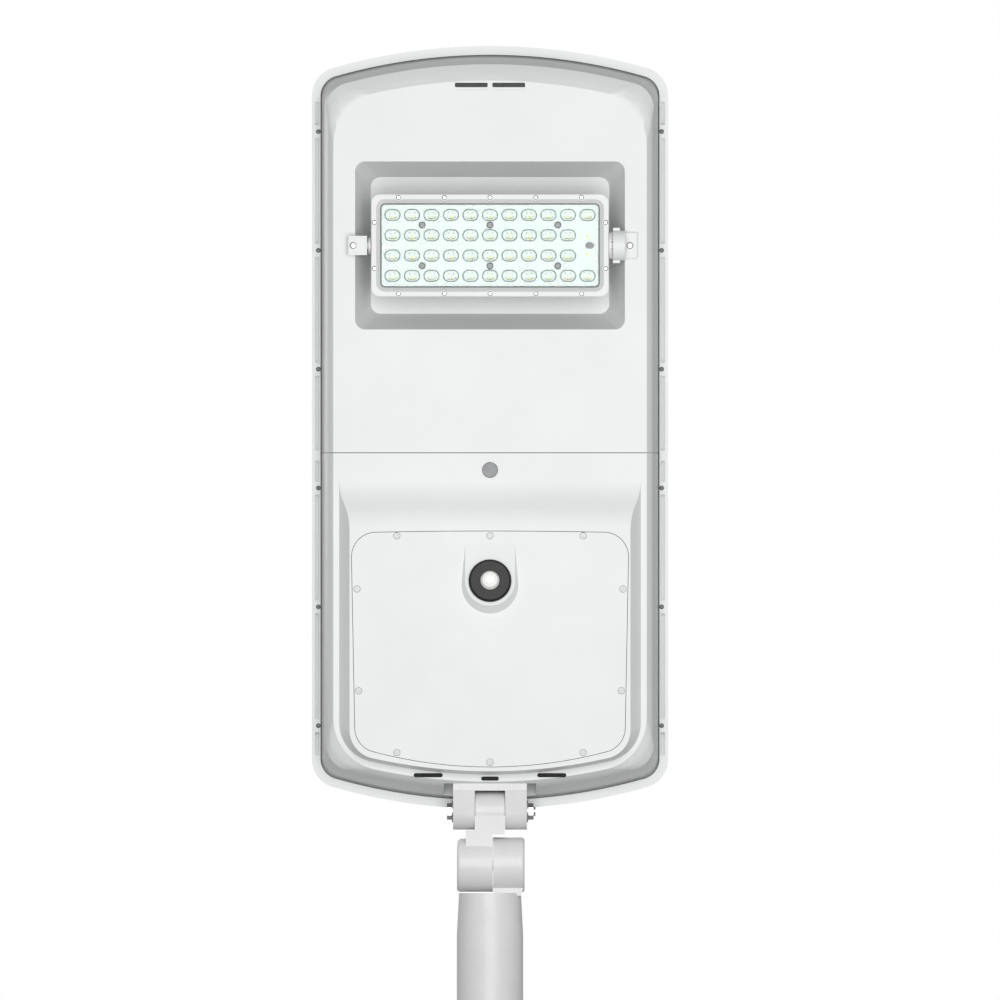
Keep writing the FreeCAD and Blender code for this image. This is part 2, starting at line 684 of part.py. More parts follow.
# ---------------------------------------------------------------- shells
def tray_level(inside, side, far, near, round_corner):
    """One outline of the tray, moved in by a wall."""
    half = f"(lamp_width / 2 - {side} - {inside})"
    bow_far, bow_near = f"(end_arc - {far} - {inside})", f"(end_arc - {near} - {inside})"
    corner_radius = f"({round_corner} - {inside})"
    return barrel(half, half, f"({FAR} + {far} + {inside})", f"({NEAR} - {near} - {inside})",
                  bow_far, bow_near, corner_radius, corner_radius)


def tray_levels(inside, top):
    """The tray's skin from its top to the face: cheek, brow and face."""
    rows = [("top_inset", "top_inset", "top_inset", "(corner - top_inset)", top),
            ("cheek_side", "cheek_far", "cheek_near", "cheek_corner", f"({RIM} - cheek_depth + {inside})"),
            ("brow_side", "brow_far", "brow_near", "brow_corner", f"({RIM} - brow_depth + {inside})"),
            ("face_side", "face_far", "face_near", "face_corner", f"({FACE} + {inside})")]
    return [(tray_level(inside, side, far, near, round_corner), level)
            for side, far, near, round_corner, level in rows]


def beyond(station, away):
    """Rectangle that covers the lamp from a station to beyond its far (-1) or near (+1) end."""
    end = f"{station} + {away} * 2 * lamp_length"
    low, high = (end, station) if away < 0 else (station, end)
    return polygons(slab("-lamp_width", "lamp_width", low, high))


def outside(outline):
    """All that lies round an outline."""
    sheet_of = polygons(slab("-lamp_width", "lamp_width", f"{NEAR} - 2 * lamp_length", f"{NEAR} + lamp_length"))

    def draw(drawing):
        sheet_of(drawing)
        outline(drawing)
    return draw


def shell(label):
    """Tray with its flange, before it is hollowed and cut off at the seam."""
    piece = Piece(label)
    piece.loft(tray_levels("0", FLANGE))
    piece.add(rim_outline("flange_inset"), FLANGE, FLANGE_TOP)
    return piece


def hollow(piece):
    piece.loft(tray_levels("wall", FLANGE), cut=True)
    piece.cut(rim_outline("top_inset + wall"), FLANGE, FLANGE_TOP)


def finish_shell(piece, away):
    """Cut the shell at the seam and drill its flange."""
    piece.cut(beyond(SEAM, away), f"{BULGE} - 1", f"{FLANGE_TOP} + 1")
    kept = [(x, y) for x, y in rim_screw_points() if away * (number(y) - number(SEAM)) < 0]
    piece.cut(discs(kept, "small_radius + screw_play"), FLANGE, FLANGE_TOP)


def recess_levels(grow, floor):
    """The LED recess's opening and floor, moved out by a formula."""
    levels = []
    for lean, level in (("0", FACE), ("recess_slope", floor)):
        outline = soft_slab("0", LED, f"(recess_half_width + {grow} - {lean})",
                            f"(recess_half_length + {grow} - {lean})", f"(recess_corner + {grow})")
        levels.append((bands(outline), level))
    return levels


def clamp_screw_points():
    return [("-clamp_screw_left", LED), ("clamp_screw_right", LED)]


def upper_shell():
    piece = shell("upper_shell")
    hollow(piece)
    floor = f"({FACE} + recess_depth)"
    piece.loft(recess_levels("wall", f"({floor} + wall)"))
    piece.add(discs(clamp_screw_points(), "tap_head + wall"), FACE, f"{FACE} + tap_length + wall")
    piece.loft(recess_levels("0", floor), cut=True)
    piece.cut(discs(clamp_screw_points(), "tap_radius"), FACE, f"{FACE} + tap_length")
    piece.cut(bands(*vent_slots("0", "0")), FACE, f"{FACE} + wall / 2")
    piece.cut(bands(*vent_slots("0", "vent_lip")), FACE, f"{FACE} + wall")
    piece.cut(discs([("0", LED)], "gland_radius"), floor, f"{floor} + wall")
    finish_shell(piece, 1)


VENTS = f"({FAR} + vent_inset + end_arc - sqrt(end_arc^2 - vent_offset^2))"


def vent_slots(grow, lip):
    """Two slots beside each other near the free end, less a lip along their pole side."""
    return [soft_slab(f"{side} * vent_offset", f"({VENTS} - {lip} / 2)", f"(vent_half - {grow})",
                      f"(vent_width / 2 - {lip} / 2 - {grow})", f"(vent_corner - {grow})") for side in (-1, 1)]


def vent_louvres():
    piece = Piece("vent_louvres")
    inside = f"({FACE} + wall)"
    piece.add(bands(*vent_slots("screw_play", "vent_lip")), f"{inside} - louvre_depth / 2", inside)
    piece.add(bands(soft_slab("0", VENTS, "(vent_offset + vent_half + wall)", "(vent_width / 2 + wall)", "wall")),
              inside, f"{inside} + louvre_depth")
    skin = tray_level("(wall + gap)", "face_side", "face_far", "face_near", "face_corner")
    piece.cut(outside(skin), inside, f"{inside} + louvre_depth")


def cable_gland():
    floor = f"({FACE} + recess_depth)"
    piece = Piece("cable_gland", ("0", LED, floor))
    piece.turn([("small_head", "-4"), ("gland_radius", "-4"), ("gland_radius + 3", "0"), ("gland_radius", "0"),
                ("gland_radius", "wall"), ("gland_radius + 3", "wall"), ("gland_radius + 3", "wall + 3"),
                ("small_head", "wall + 3")])


def bulge_outline(grow, near_grow):
    """Foot of the battery bulge, moved in by formulas, and running on under the ramp."""
    half = f"(lamp_width / 2 - bulge_side - ({grow}))"
    far = f"({NEAR} - ramp_start - bulge_corner)"
    bow = f"(end_arc - bulge_near - ({near_grow}))"
    round_corner = f"(bulge_corner - ({grow}))"
    return barrel(half, half, far, f"({NEAR} - bulge_near - ({near_grow}))", "lamp_length * 4", bow,
                  round_corner, round_corner)


def bulge_levels(inside, top):
    """The bulge's skin from the tray's face to its own."""
    return [(bulge_outline(inside, inside), top),
            (bulge_outline(f"bulge_draft + {inside}", f"bulge_near_draft + {inside}"), f"({BULGE} + {inside})")]


def ramp_side(inside):
    """Side view of what the ramp takes off the bulge: two equal arcs that make a soft step."""
    start, end = f"({NEAR} - ramp_start + {inside})", f"({NEAR} - ramp_start + ramp_run + {inside})"
    top, low = f"({FACE} + {inside})", f"({BULGE} + {inside})"
    away, under = f"({NEAR} - lamp_length)", f"({BULGE} - bulge_drop)"

    def draw(drawing):
        y0, y1, z0, z1 = number(start), number(end), number(top), number(low)
        rise, run = (z0 - z1) / 2, (y1 - y0) / 2
        radius = (run ** 2 + rise ** 2) / (2 * rise)
        turn = math.asin(run / radius)
        far, bottom = number(away), number(under)
        quarter = math.pi / 2
        first = drawing.chain([
            Part.LineSegment(Vector(far, z0, 0), Vector(y0, z0, 0)),
            arc(y0, z0 - radius, radius, quarter - turn, quarter),
            arc(y1, z1 + radius, radius, -quarter - turn, -quarter),
            Part.LineSegment(Vector(y1, z1, 0), Vector(y1, bottom, 0)),
            Part.LineSegment(Vector(y1, bottom, 0), Vector(far, bottom, 0)),
            Part.LineSegment(Vector(far, bottom, 0), Vector(far, z0, 0))], "Coincident")
        del drawing.rules[-6:-3]
        drawing.rule("Coincident", first, 2, first + 1, 2)
        drawing.rule("Tangent", first + 1, 1, first + 2, 1)
        drawing.rule("Coincident", first + 2, 2, first + 3, 1)
        drawing.pin(first, 2, start, top)
        drawing.pin(first + 3, 1, end, low)
        drawing.pin(first + 4, 1, end, under)
        drawing.pin(first + 5, 1, away, under)
        drawing.pin(first, 1, away, top)
        drawing.rule("Equal", first + 1, first + 2)
        drawing.tie(start, "DistanceX", -1, 1, first + 1, 3)
        drawing.tie(end, "DistanceX", -1, 1, first + 2, 3)
    return draw


def cover_outline(inset):
    """The battery cover's edge, moved in by a formula."""
    return barrel(f"(cover_half_far - ({inset}))", f"(cover_half_near - ({inset}))",
                  f"({NEAR} - cover_far + {inset})", f"({NEAR} - cover_near - ({inset}))",
                  f"(cover_far_arc - ({inset}))", f"(cover_near_arc - ({inset}))",
                  f"(cover_corner - ({inset}))", f"(cover_corner - ({inset}))")


def cover_screw_points():
    """Three screws along each end of the cover and two down each side."""
    far = f"{NEAR} - cover_far + cover_screw_inset"
    near = f"{NEAR} - cover_near - cover_screw_inset"
    bow = "cover_near_arc - sqrt(cover_near_arc^2 - cover_screw_side^2)"
    lean = "(cover_half_far - cover_half_near) / 2"
    points = [("0", far), ("0", near)]
    for side in (-1, 1):
        points.append((f"{side} * cover_screw_side", far))
        points.append((f"{side} * cover_screw_side", f"{near} - ({bow})"))
        for along in (-1, 1):
            points.append((f"{side} * (cover_half_near + {lean} * (1 - {along} / 2) - cover_screw_inset)",
                           f"{NEAR} - cover_screw_mid + {along} * cover_screw_half"))
    return points


def plug_outlines(grow):
    """Slots for the pole-end plugs: one in the middle and one on each side of it."""
    drop = "(end_arc - sqrt(end_arc^2 - plug_side^2))"
    near = f"{NEAR} - plug_inset"
    outlines = [racetrack("0", near, f"(plug_middle_half - {grow})", f"(plug_width / 2 - {grow})")]
    for side in (-1, 1):
        outlines.append(racetrack(f"{side} * plug_side", f"{near} - {drop}", f"(plug_half - {grow})",
                                  f"(plug_width / 2 - {grow})"))
    return outlines


def pocket_block(grow):
    """Walls round the bracket pocket, in side view, kept inside the shell's own end wall."""
    inner = f"({NEAR} - pocket_depth - {grow})"
    return polygons([(inner, f"{FACE} + 0.5"), (f"{NEAR} - face_near - wall - 0.5", f"{FACE} + 0.5"),
                     (f"{NEAR} - cheek_near - wall", f"{RIM} - cheek_depth"),
                     (f"{NEAR} - top_inset - wall - 0.5", FLANGE),
                     (inner, FLANGE)])


def mount_bolt_points():
    return [(f"{a} * mount_bolt_side", f"{b} * mount_bolt_rise") for a in (-1, 1) for b in (-1, 1)]


def lower_shell():
    piece = shell("lower_shell")
    piece.loft(bulge_levels("0", f"({FACE} + wall / 2)"))
    width = "lamp_width"
    piece.cut(ramp_side("0"), f"-{width} / 2", f"{width} / 2", "YZ")
    hollow(piece)
    inner_half = "(lamp_width / 2 - bulge_side - bulge_draft - wall * 1.5)"
    piece.loft([(battery_bay("wall"), f"({FACE} + 2 * wall)"),
                (battery_bay("bulge_draft + wall"), f"({BULGE} + wall)")], cut=True)
    foot, head = f"({NEAR} - ramp_start + ramp_run / 3)", f"({NEAR} - ramp_start + ramp_run + wall)"
    piece.cut(polygons([(foot, f"{FACE} + 2 * wall"), (foot, f"{FACE} + wall / 2"),
                        (head, f"{BULGE} + wall * 1.5"), (f"{head} + 6 * wall", f"{BULGE} + wall * 1.5"),
                        (f"{head} + 6 * wall", f"{FACE} + 2 * wall")]),
              f"-{inner_half}", inner_half, "YZ")
    ledge = f"{BULGE} + cover_thickness + cover_seal"
    piece.add(cover_outline("-wall"), f"{BULGE} + wall / 2", f"{ledge} + wall")
    piece.cut(cover_outline("cover_ledge"), BULGE, f"{ledge} + wall")
    piece.add(discs(cover_screw_points(), "tap_head + 1"), f"{ledge} + wall", f"{ledge} + tap_length")
    piece.cut(cover_outline("-seat_gap"), BULGE, ledge)
    piece.cut(discs(cover_screw_points(), "tap_radius"), ledge, f"{ledge} + tap_length - 1")
    piece.cut(discs([("0", BUTTON)], "button_collar - wall"), FACE, f"{FACE} + wall")
    block = "(pocket_half + wall)"
    piece.add(pocket_block("(wall * 2)"), f"-{block}", block, "YZ")
    piece.cut(polygons(slab("-pocket_half", "pocket_half", f"{NEAR} - pocket_depth", f"{NEAR} + pocket_depth")),
              f"{BULGE} - 1", "pocket_top")
    piece.cut(discs(mount_bolt_points(), "mount_bolt_radius + screw_play"), f"-({NEAR} - pocket_depth)",
              f"-({NEAR} - pocket_depth - wall * 2)", "XZ")
    piece.cut(bands(*plug_outlines("0")), BULGE, f"{FACE} + wall")
    finish_shell(piece, -1)


def battery_bay(inside):
    """Hollow of the bulge, from the foot of the ramp's far end wall to its pole end."""
    half = f"(lamp_width / 2 - bulge_side - ({inside}))"
    bow = f"(end_arc - bulge_near - bulge_near_draft - wall)"
    round_corner = f"(bulge_corner - ({inside}))"
    return barrel(half, half, f"({NEAR} - ramp_start + ramp_run + wall)",
                  f"({NEAR} - bulge_near - bulge_near_draft - wall)", "lamp_length * 4", bow,
                  round_corner, round_corner)


def seam_joiner():
    """Strip inside both shells, over their seam."""
    piece = Piece("seam_joiner")
    piece.loft(tray_levels("(wall + running_fit)", FLANGE))
    piece.loft(tray_levels("(wall * 2)", FLANGE), cut=True)
    for away in (-1, 1):
        piece.cut(beyond(f"({SEAM} + {away} * joiner_width)", away), f"{BULGE} - 1", FLANGE)


def drain_plugs():
    piece = Piece("drain_plugs")
    piece.add(bands(*plug_outlines("screw_play")), f"{FACE} - plug_proud", f"{FACE} + wall - gap")


# ---------------------------------------------------------------- screws
def tap_screws(label, points, seat, shank, head, head_height, length):
    """Round-headed screws driven upwards, heads under their seat, each with a driver recess."""
    piece = Piece(label)
    piece.add(discs(points, shank), seat, f"{seat} + {length}")
    piece.add(discs(points, head), seat, f"{seat} - {head_height}")
    across = [slab(f"{x} - {head} * 0.6", f"{x} + {head} * 0.6", f"{y} - {head} * 0.12", f"{y} + {head} * 0.12")
              for x, y in points]
    up = [slab(f"{x} - {head} * 0.12", f"{x} + {head} * 0.12", f"{y} - {head} * 0.6", f"{y} + {head} * 0.6")
          for x, y in points]
    for slots in (across, up):
        piece.cut(polygons(*slots), f"{seat} - {head_height}", f"{seat} - {head_height} / 2")


def small_screws(label, points, seat, length):
    tap_screws(label, points, seat, "small_radius", "small_head", "small_head_height", length)


def large_screws(label, points, seat, length):
    tap_screws(label, points, seat, "tap_radius", "tap_head", "tap_head_height", length)


# ---------------------------------------------------------------- battery cover and sensor
BOSS_FACE = f"({BULGE} - sensor_rise)"


def sensor_boss(drawing):
    """Sloped face of the sensor boss: a strip from its flush end, with a round end about the sensor."""
    start = "(boss_radius - boss_length)"
    left = Part.LineSegment(Vector(-number("boss_radius"), 0, 0), Vector(-number("boss_radius"), number(start), 0))
    low = Part.LineSegment(left.EndPoint, Vector(number("boss_radius"), number(start), 0))
    right = Part.LineSegment(low.EndPoint, Vector(number("boss_radius"), 0, 0))
    first = drawing.chain([left, low, right, arc(0, 0, number("boss_radius"), 0, math.pi)], "Coincident")
    drawing.pin(first, 1, "-boss_radius", "0")
    drawing.pin(first + 1, 1, "-boss_radius", start)
    drawing.pin(first + 2, 1, "boss_radius", start)
    drawing.pin(first + 2, 2, "boss_radius", "0")
    drawing.tie("0", "DistanceY", -1, 1, first + 3, 3)


def sensor_frame(label):
    """A piece whose own Z axis is the sensor's, standing square on the sloped face."""
    piece = Piece(label, ("0", SENSOR, BOSS_FACE), (Vector(-1, 0, 0), number("sensor_tilt")))
    piece.body.setExpression("Placement.Rotation.Angle", bound("sensor_tilt * 1deg"))
    return piece


def battery_cover():
    piece = Piece("battery_cover")
    inside = f"{BULGE} + cover_thickness"
    piece.add(cover_outline("seat_gap"), BULGE, inside)
    boss = piece.body.newObject("PartDesign::Pad", "battery_cover_boss")
    sketch = piece.body.newObject("Sketcher::SketchObject", "battery_cover_boss_sketch")
    sketch.AttachmentSupport = [(next(plane for plane in piece.body.Origin.OriginFeatures
                                      if plane.Role == "XY_Plane"), "")]
    sketch.MapMode = "FlatFace"
    sketch.AttachmentOffset = Placement(Vector(), Rotation(Vector(-1, 0, 0), number("sensor_tilt")))
    sketch.setExpression("AttachmentOffset.Rotation.Angle", bound("sensor_tilt * 1deg"))
    sketch.setExpression("AttachmentOffset.Base.y", bound(SENSOR))
    sketch.setExpression("AttachmentOffset.Base.z", bound(BOSS_FACE))
    drawing = Drawing(sketch)
    sensor_boss(drawing)
    drawing.done()
    boss.Profile = sketch
    boss.setExpression("Length", bound("sensor_rise * 2 + cover_thickness"))
    boss.setExpression("TaperAngle", bound("boss_draft"))
    piece.body.Tip = boss
    reach = "(boss_length + ring_radius)"
    piece.cut(polygons(slab(f"-{reach}", reach, f"{SENSOR} - {reach}", f"{SENSOR} + {reach}")),
              inside, f"{inside} + cover_thickness * 8")
    piece.cut(discs([("0", SENSOR)], "sensor_neck + sensor_rise / 4 + seat_gap"), f"{BOSS_FACE} - sensor_rise",
              inside)
    piece.cut(discs(cover_screw_points(), "tap_head + screw_play"), BULGE, f"{BULGE} + tap_head_height")
    piece.cut(discs(cover_screw_points(), "tap_radius + screw_play"), BULGE, inside)


def cover_seal():
    inside = f"{BULGE} + cover_thickness"
    piece = Piece("cover_seal")
    piece.add(cover_outline("seat_gap"), inside, f"{inside} + cover_seal")
    piece.cut(cover_outline("cover_ledge"), inside, f"{inside} + cover_seal")
    piece.cut(discs(cover_screw_points(), "tap_radius + screw_play"), inside, f"{inside} + cover_seal")


def motion_sensor():
    ring = sensor_frame("sensor_ring")
    ring.turn([("dome_radius + seat_gap", "-ring_height"), ("ring_radius - 2", "-ring_height"),
               ("ring_radius", "-ring_height + 2"), ("ring_radius", "0"), ("sensor_neck", "0"),
               ("sensor_neck", "sensor_length"), ("dome_radius + seat_gap", "sensor_length")])
    dome = sensor_frame("sensor_dome")
    flat = "-ring_height"
    dome.turn([("0", f"{flat} - dome_height"), ("dome_radius * 0.42", f"{flat} - dome_height * 0.93"),
               ("dome_radius * 0.78", f"{flat} - dome_height * 0.65"), ("dome_radius", flat),
               ("dome_radius", "0"), ("0", "0")])
    board = sensor_frame("sensor_board")
    board.add(discs([("0", "0")], "dome_radius"), "board_thickness", "board_thickness * 2")
    nut = sensor_frame("sensor_nut")
    start = "sensor_rise + cover_thickness + sensor_neck * 0.25"
    nut.add(discs([("0", "0")], "sensor_neck + wall + 1"), start, f"{start} + sensor_nut")
    nut.cut(discs([("0", "0")], "sensor_neck + running_fit"), start, f"{start} + sensor_nut")


# ---------------------------------------------------------------- power button
def power_switch():
    button = Piece("power_button", ("0", BUTTON, "0"))
    under = f"{FACE} - button_proud"
    shoulder = f"({FACE} + wall + button_body)"
    back = f"({shoulder} + button_rim)"
    rim = "(button_radius + button_rim_width)"
    button.add(discs([("0", "0")], "button_radius"), under, shoulder)
    button.add(discs([("0", "0")], rim), shoulder, back)
    housing = Piece("switch_housing", ("0", BUTTON, "0"))
    roof = f"{FACE} + switch_depth"
    housing.add(discs([("0", "0")], "button_collar"), f"{FACE} + wall", roof)
    housing.add(discs([("0", "0")], "button_collar - wall"), FACE, f"{FACE} + wall")
    housing.cut(discs([("0", "0")], "button_radius + gap"), FACE, f"{shoulder} - gap")
    housing.cut(discs([("0", "0")], f"{rim} + gap"), f"{shoulder} - gap", f"{roof} - wall")
    spring = Piece("button_spring", ("0", BUTTON, "0"))
    spring.add(discs([("0", "0")], "button_radius - spring_inset"), back, f"{roof} - wall")
    spring.cut(discs([("0", "0")], "button_radius - spring_inset - spring_wire"), back, f"{roof} - wall")


# ---------------------------------------------------------------- battery and electronics
PITCH = "(battery_radius * 2 + battery_gap)"


def battery_pack():
    """Two rows of cells in plate holders, over the cover's ledge and clear of its opening."""
    level = f"({BULGE} + cover_thickness + cover_seal + wall + gap + {PITCH} / 2)"
    middle = f"({NEAR} - cover_near - cover_ledge - pack_inset - wall - battery_length)"
    first = f"(-(battery_across - 1) / 2 * {PITCH})"
    count = int(number("battery_across"))
    points = [(f"{first} + {k} * {PITCH}", level) for k in range(count)]
    cells = Piece("battery_cells")
    holders = Piece("cell_holders")
    half_x, half_z = f"({PITCH} * battery_across / 2)", f"({PITCH} / 2)"
    plate = slab(f"-{half_x}", half_x, f"{level} - {half_z}", f"{level} + {half_z}")
    for row in (-1, 1):
        centre = f"(-({middle}) - {row} * (battery_length / 2 + wall))"
        start, end = f"{centre} - battery_length / 2", f"{centre} + battery_length / 2"
        cells.add(discs(points, "battery_radius"), start, end, "XZ")
        for place in (start, f"{end} - holder_thickness"):
            holders.add(polygons(plate), place, f"{place} + holder_thickness", "XZ")
            holders.cut(discs(points, "battery_radius + running_fit"), place, f"{place} + holder_thickness", "XZ")
    links = Piece("cell_links")
    for k in range(count // 2):
        x = f"{first} + {2 * k} * {PITCH}"
        outline = slab(f"{x} - strip_half", f"{x} + {PITCH} + strip_half", f"{level} - strip_rise",
                       f"{level} + strip_rise")
        near, far = f"-({middle}) - wall - battery_length", f"-({middle}) + wall + battery_length"
        links.add(polygons(outline), f"{near} - cell_link", near, "XZ")
        links.add(polygons(outline), far, f"{far} + cell_link", "XZ")
    top = f"({level} + {half_z})"
    board = Piece("battery_board")
    board.add(polygons(slab("-pack_board_half", "pack_board_half", f"{middle} - pack_board_side",
                            f"{middle} + pack_board_side")),
              f"{top} + pad_thickness", f"{top} + pad_thickness + board_thickness")
    pads = Piece("board_pads")
    reach = "(battery_length + wall)"
    pads.add(polygons(*[slab(f"{side} * pad_side - pad_half", f"{side} * pad_side + pad_half",
                             f"{middle} - {reach}", f"{middle} + {reach}") for side in (-1, 1)]),
             top, f"{top} + pad_thickness")


def electronics():
    middle = f"({NEAR} - controller_station)"
    floor = f"({FACE} + wall)"
    base = f"({floor} + foot_height)"
    roof = f"({base} + controller_height)"
    rail = f"({base} + box_wall)"
    box = Piece("charge_controller")
    box.add(block("0", middle, "controller_half", "controller_side", "0"), base, roof)
    box.cut(block("0", middle, "controller_half", "controller_side", "box_wall"), rail, f"{roof} - box_wall")
    feet = [(f"{a} * (controller_half - foot_inset)", f"{middle} + {b} * (controller_side - foot_inset)")
            for a in (-1, 1) for b in (-1, 1)]
    pillars = Piece("controller_pillars")
    pillars.add(discs(feet, "foot_radius"), floor, base)
    board = Piece("controller_board")
    board.add(block("0", middle, "controller_half", "controller_side", "box_wall * 1.5"),
              f"{rail} + foot_height", f"{rail} + foot_height + board_thickness")
    rails = Piece("board_rails")
    rails.add(polygons(*[slab(f"{x} - box_wall", f"{x} + box_wall", f"{middle} - controller_side + box_wall * 1.5",
                              f"{middle} + controller_side - box_wall * 1.5")
                         for x in ("(foot_inset - controller_half)", "(controller_half - foot_inset)")]),
              rail, f"{rail} + foot_height")
    junction = Piece("junction_box")
    station = f"({SEAM} + junction_offset)"
    junction.add(block("0", station, "junction_half", "junction_side", "0"), f"{LEDGE} - junction_height", LEDGE)
    junction.cut(block("0", station, "junction_half", "junction_side", "box_wall"),
                 f"{LEDGE} - junction_height + box_wall", f"{LEDGE} - box_wall")


# ---------------------------------------------------------------- LED module
FRONT = f"({AXIS} - module_front)"
FRAME_BACK = f"({FRONT} + module_frame_depth)"
LENS_FRONT = f"({FRONT} + lens_drop)"
LENS_BACK = f"({LENS_FRONT} + lens_plate)"


def module_plan(inset, half_x="module_half_width", half_y="module_half_length", radius="module_corner"):
    return bands(soft_slab("0", LED, f"({half_x} - ({inset}))", f"({half_y} - ({inset}))",
                           f"({radius} - ({inset}))"))


def window(inset):
    return module_plan(inset, "window_half_width", "window_half_length", "window_corner")


def frame_screw_points():
    """Five along each long side of the module and two at each end."""
    points = []
    for side in (-1, 1):
        long_side = f"{LED} + {side} * (module_half_length - frame_screw_inset)"
        points += [(f"{k} * frame_screw_pitch", long_side) for k in range(-2, 3)]
        points += [(f"{side} * (module_half_width - frame_screw_inset)", f"{LED} + {k} * frame_screw_side")
                   for k in (-1, 1)]
    return points


def board_screw_points():
    return [(f"{k} * board_screw_pitch", f"{LED} + {side} * board_screw_row") for side in (-1, 1) for k in (-1, 0, 1)]


def pin_points():
    return [("-pin_side", LED), ("pin_side", f"{LED} + pin_offset")]


FIRST_LIGHT = "(-(lenses_outer - 1) / 2 * lens_pitch)"


def light_rows():
    """Middle and count of each of the four rows of LEDs, which all start at the same side."""
    return [(f"{LED} + {k} * row_pitch", count)
            for k, count in ((-1.5, "lenses_outer"), (-0.5, "lenses_inner"), (0.5, "lenses_inner"),
                             (1.5, "lenses_outer"))]


def spare_window():
    """Circles of the window where the inner rows have no last LED."""
    return [("spare_side", f"{LED} + {side} * (spare_half_length - spare_half_width)", "spare_half_width")
            for side in (-1, 1)]


def lead_hole(inset):
    return racetrack("lead_side", LED, f"(lead_half_width - {inset})", f"(lead_half_length - {inset})")


def module_frame():
    piece = Piece("module_frame")
    piece.add(module_plan("0"), FRONT, FRAME_BACK)
    piece.loft([(window("(0 - module_bevel)"), FRONT), (window("0"), LENS_FRONT)], cut=True)
    piece.add(discs(frame_screw_points(), "module_boss"), LENS_FRONT, FRONT, taper="0 - module_boss_draft")
    piece.cut(outside(module_plan("0")), FRONT, LENS_FRONT)
    piece.cut(window("-board_margin - seat_gap"), LENS_FRONT, FRAME_BACK)
    piece.cut(discs(frame_screw_points(), "small_radius + screw_play"), FRONT, FRAME_BACK)
    piece.cut(discs(frame_screw_points(), "small_head + screw_play"), FRONT, f"{FRONT} + small_head_height")


def lens_plate():
    piece = Piece("lens_plate")
    piece.add(window("-board_margin"), LENS_FRONT, LENS_BACK)
    for y, count in light_rows():
        lens = piece.add(bands(racetrack(FIRST_LIGHT, y, "(lens_radius + lens_stretch)", "lens_radius")),
                         LENS_FRONT, f"{LENS_FRONT} - lens_height", taper="0 - 25")
        piece.repeat(lens, "X", "lens_pitch", count)
    piece.cut(discs(board_screw_points(), "small_radius + screw_play"), LENS_FRONT, LENS_BACK)
    piece.cut(discs(pin_points(), "pin_radius + running_fit"), LENS_FRONT, LENS_BACK)
    piece.add(bands(spare_window()), LENS_FRONT, f"{LENS_FRONT} - lens_height / 2")
    piece.cut(bands(lead_hole("0")), f"{LENS_FRONT} - lens_height", LENS_BACK)


def led_board():
    board = Piece("led_board")
    seat = f"({FRAME_BACK} - board_thickness)"
    board.add(window("-board_margin"), seat, FRAME_BACK)
    board.add(bands(lead_hole("running_fit")), seat, f"{LENS_FRONT} - lens_height * 0.6")
    board.cut(discs(board_screw_points(), "small_radius + screw_play"), seat, FRAME_BACK)
    chips = Piece("led_chips")
    for y, count in light_rows():
        chip = chips.add(block(FIRST_LIGHT, f"({y} + chip_offset)", "chip / 2", "chip / 2", "0"),
                         seat, f"{seat} - chip_height")
        chips.repeat(chip, "X", "lens_pitch", count)
    for side in (-1, 1):
        chips.add(block("spare_side", f"({LED} + {side} * spare_light)", "chip / 2", "chip / 2", "0"),
                  seat, f"{seat} - chip_height")
    pins = Piece("locating_pins")
    pins.add(discs(pin_points(), "pin_radius"), f"{LENS_FRONT} - 1", seat)


def module_heatsink():
    piece = Piece("module_heatsink")
    back = f"({FRAME_BACK} + sink_base + seal_thickness / 2)"
    start = f"({FRAME_BACK} + seal_thickness / 2)"
    piece.add(module_plan("0"), start, back)
    piece.add(window("seat_gap"), start, FRAME_BACK)
    first = "(-(fin_count - 1) / 2 * fin_pitch)"
    fin = slab("-sink_half_width", "sink_half_width", f"{LED} + {first} - fin_thickness / 2",
               f"{LED} + {first} + fin_thickness / 2")
    row = piece.add(polygons(fin), back, f"{back} + fin_height")
    piece.repeat(row, "Y", "fin_pitch", "fin_count")
    piece.cut(discs(frame_screw_points(), "small_radius"), start, f"{back} - 1")
    piece.cut(discs(board_screw_points(), "small_radius"), FRAME_BACK, f"{back} - 1")
    seal = Piece("module_seal")
    seal.add(module_plan("0.5"), FRAME_BACK, start)
    seal.cut(window("0"), FRAME_BACK, start)
    seal.cut(discs(frame_screw_points(), "small_radius + screw_play"), FRAME_BACK, start)


# ---------------------------------------------------------------- tilt pivots
def trunnions():
    """Stub shafts at the module's ends: plain on the left, with a toothed disc on the right."""
    root = "(sink_half_width + gap)"
    plate = slab(f"{LED} - 18", f"{LED} + 18", FRAME_BACK + " + sink_base + seal_thickness / 2",
                 f"{AXIS} + trunnion_radius * 2")
    left = Piece("left_trunnion")
    left.add(discs([(LED, AXIS)], "trunnion_radius"), "-clamp_seat + gap", "-module_half_width - gap", "YZ")
    left.add(discs([(LED, AXIS)], "trunnion_radius + 4"), "-module_half_width - gap - trunnion_plate",
             "-module_half_width - gap", "YZ")
    right = Piece("right_trunnion")
    start = "(module_half_width + gap)"
    right.add(discs([(LED, AXIS)], "disc_radius"), start, f"{start} + disc_thickness", "YZ")
    right.add(discs([(LED, AXIS)], "trunnion_radius"), start, "clamp_seat - gap", "YZ")
    for piece, side in ((left, -1), (right, 1)):
        low, high = sorted((f"{side} * ({root})", f"{side} * (module_half_width + gap)"), key=number)
        piece.add(polygons(plate), low, high, "YZ")
    face = f"{start} + disc_thickness"
    right.notch_face(LED, AXIS, "(disc_radius - 4)", "(disc_radius + 1)", f"{face} - tooth_depth", face,
                     "disc_teeth")


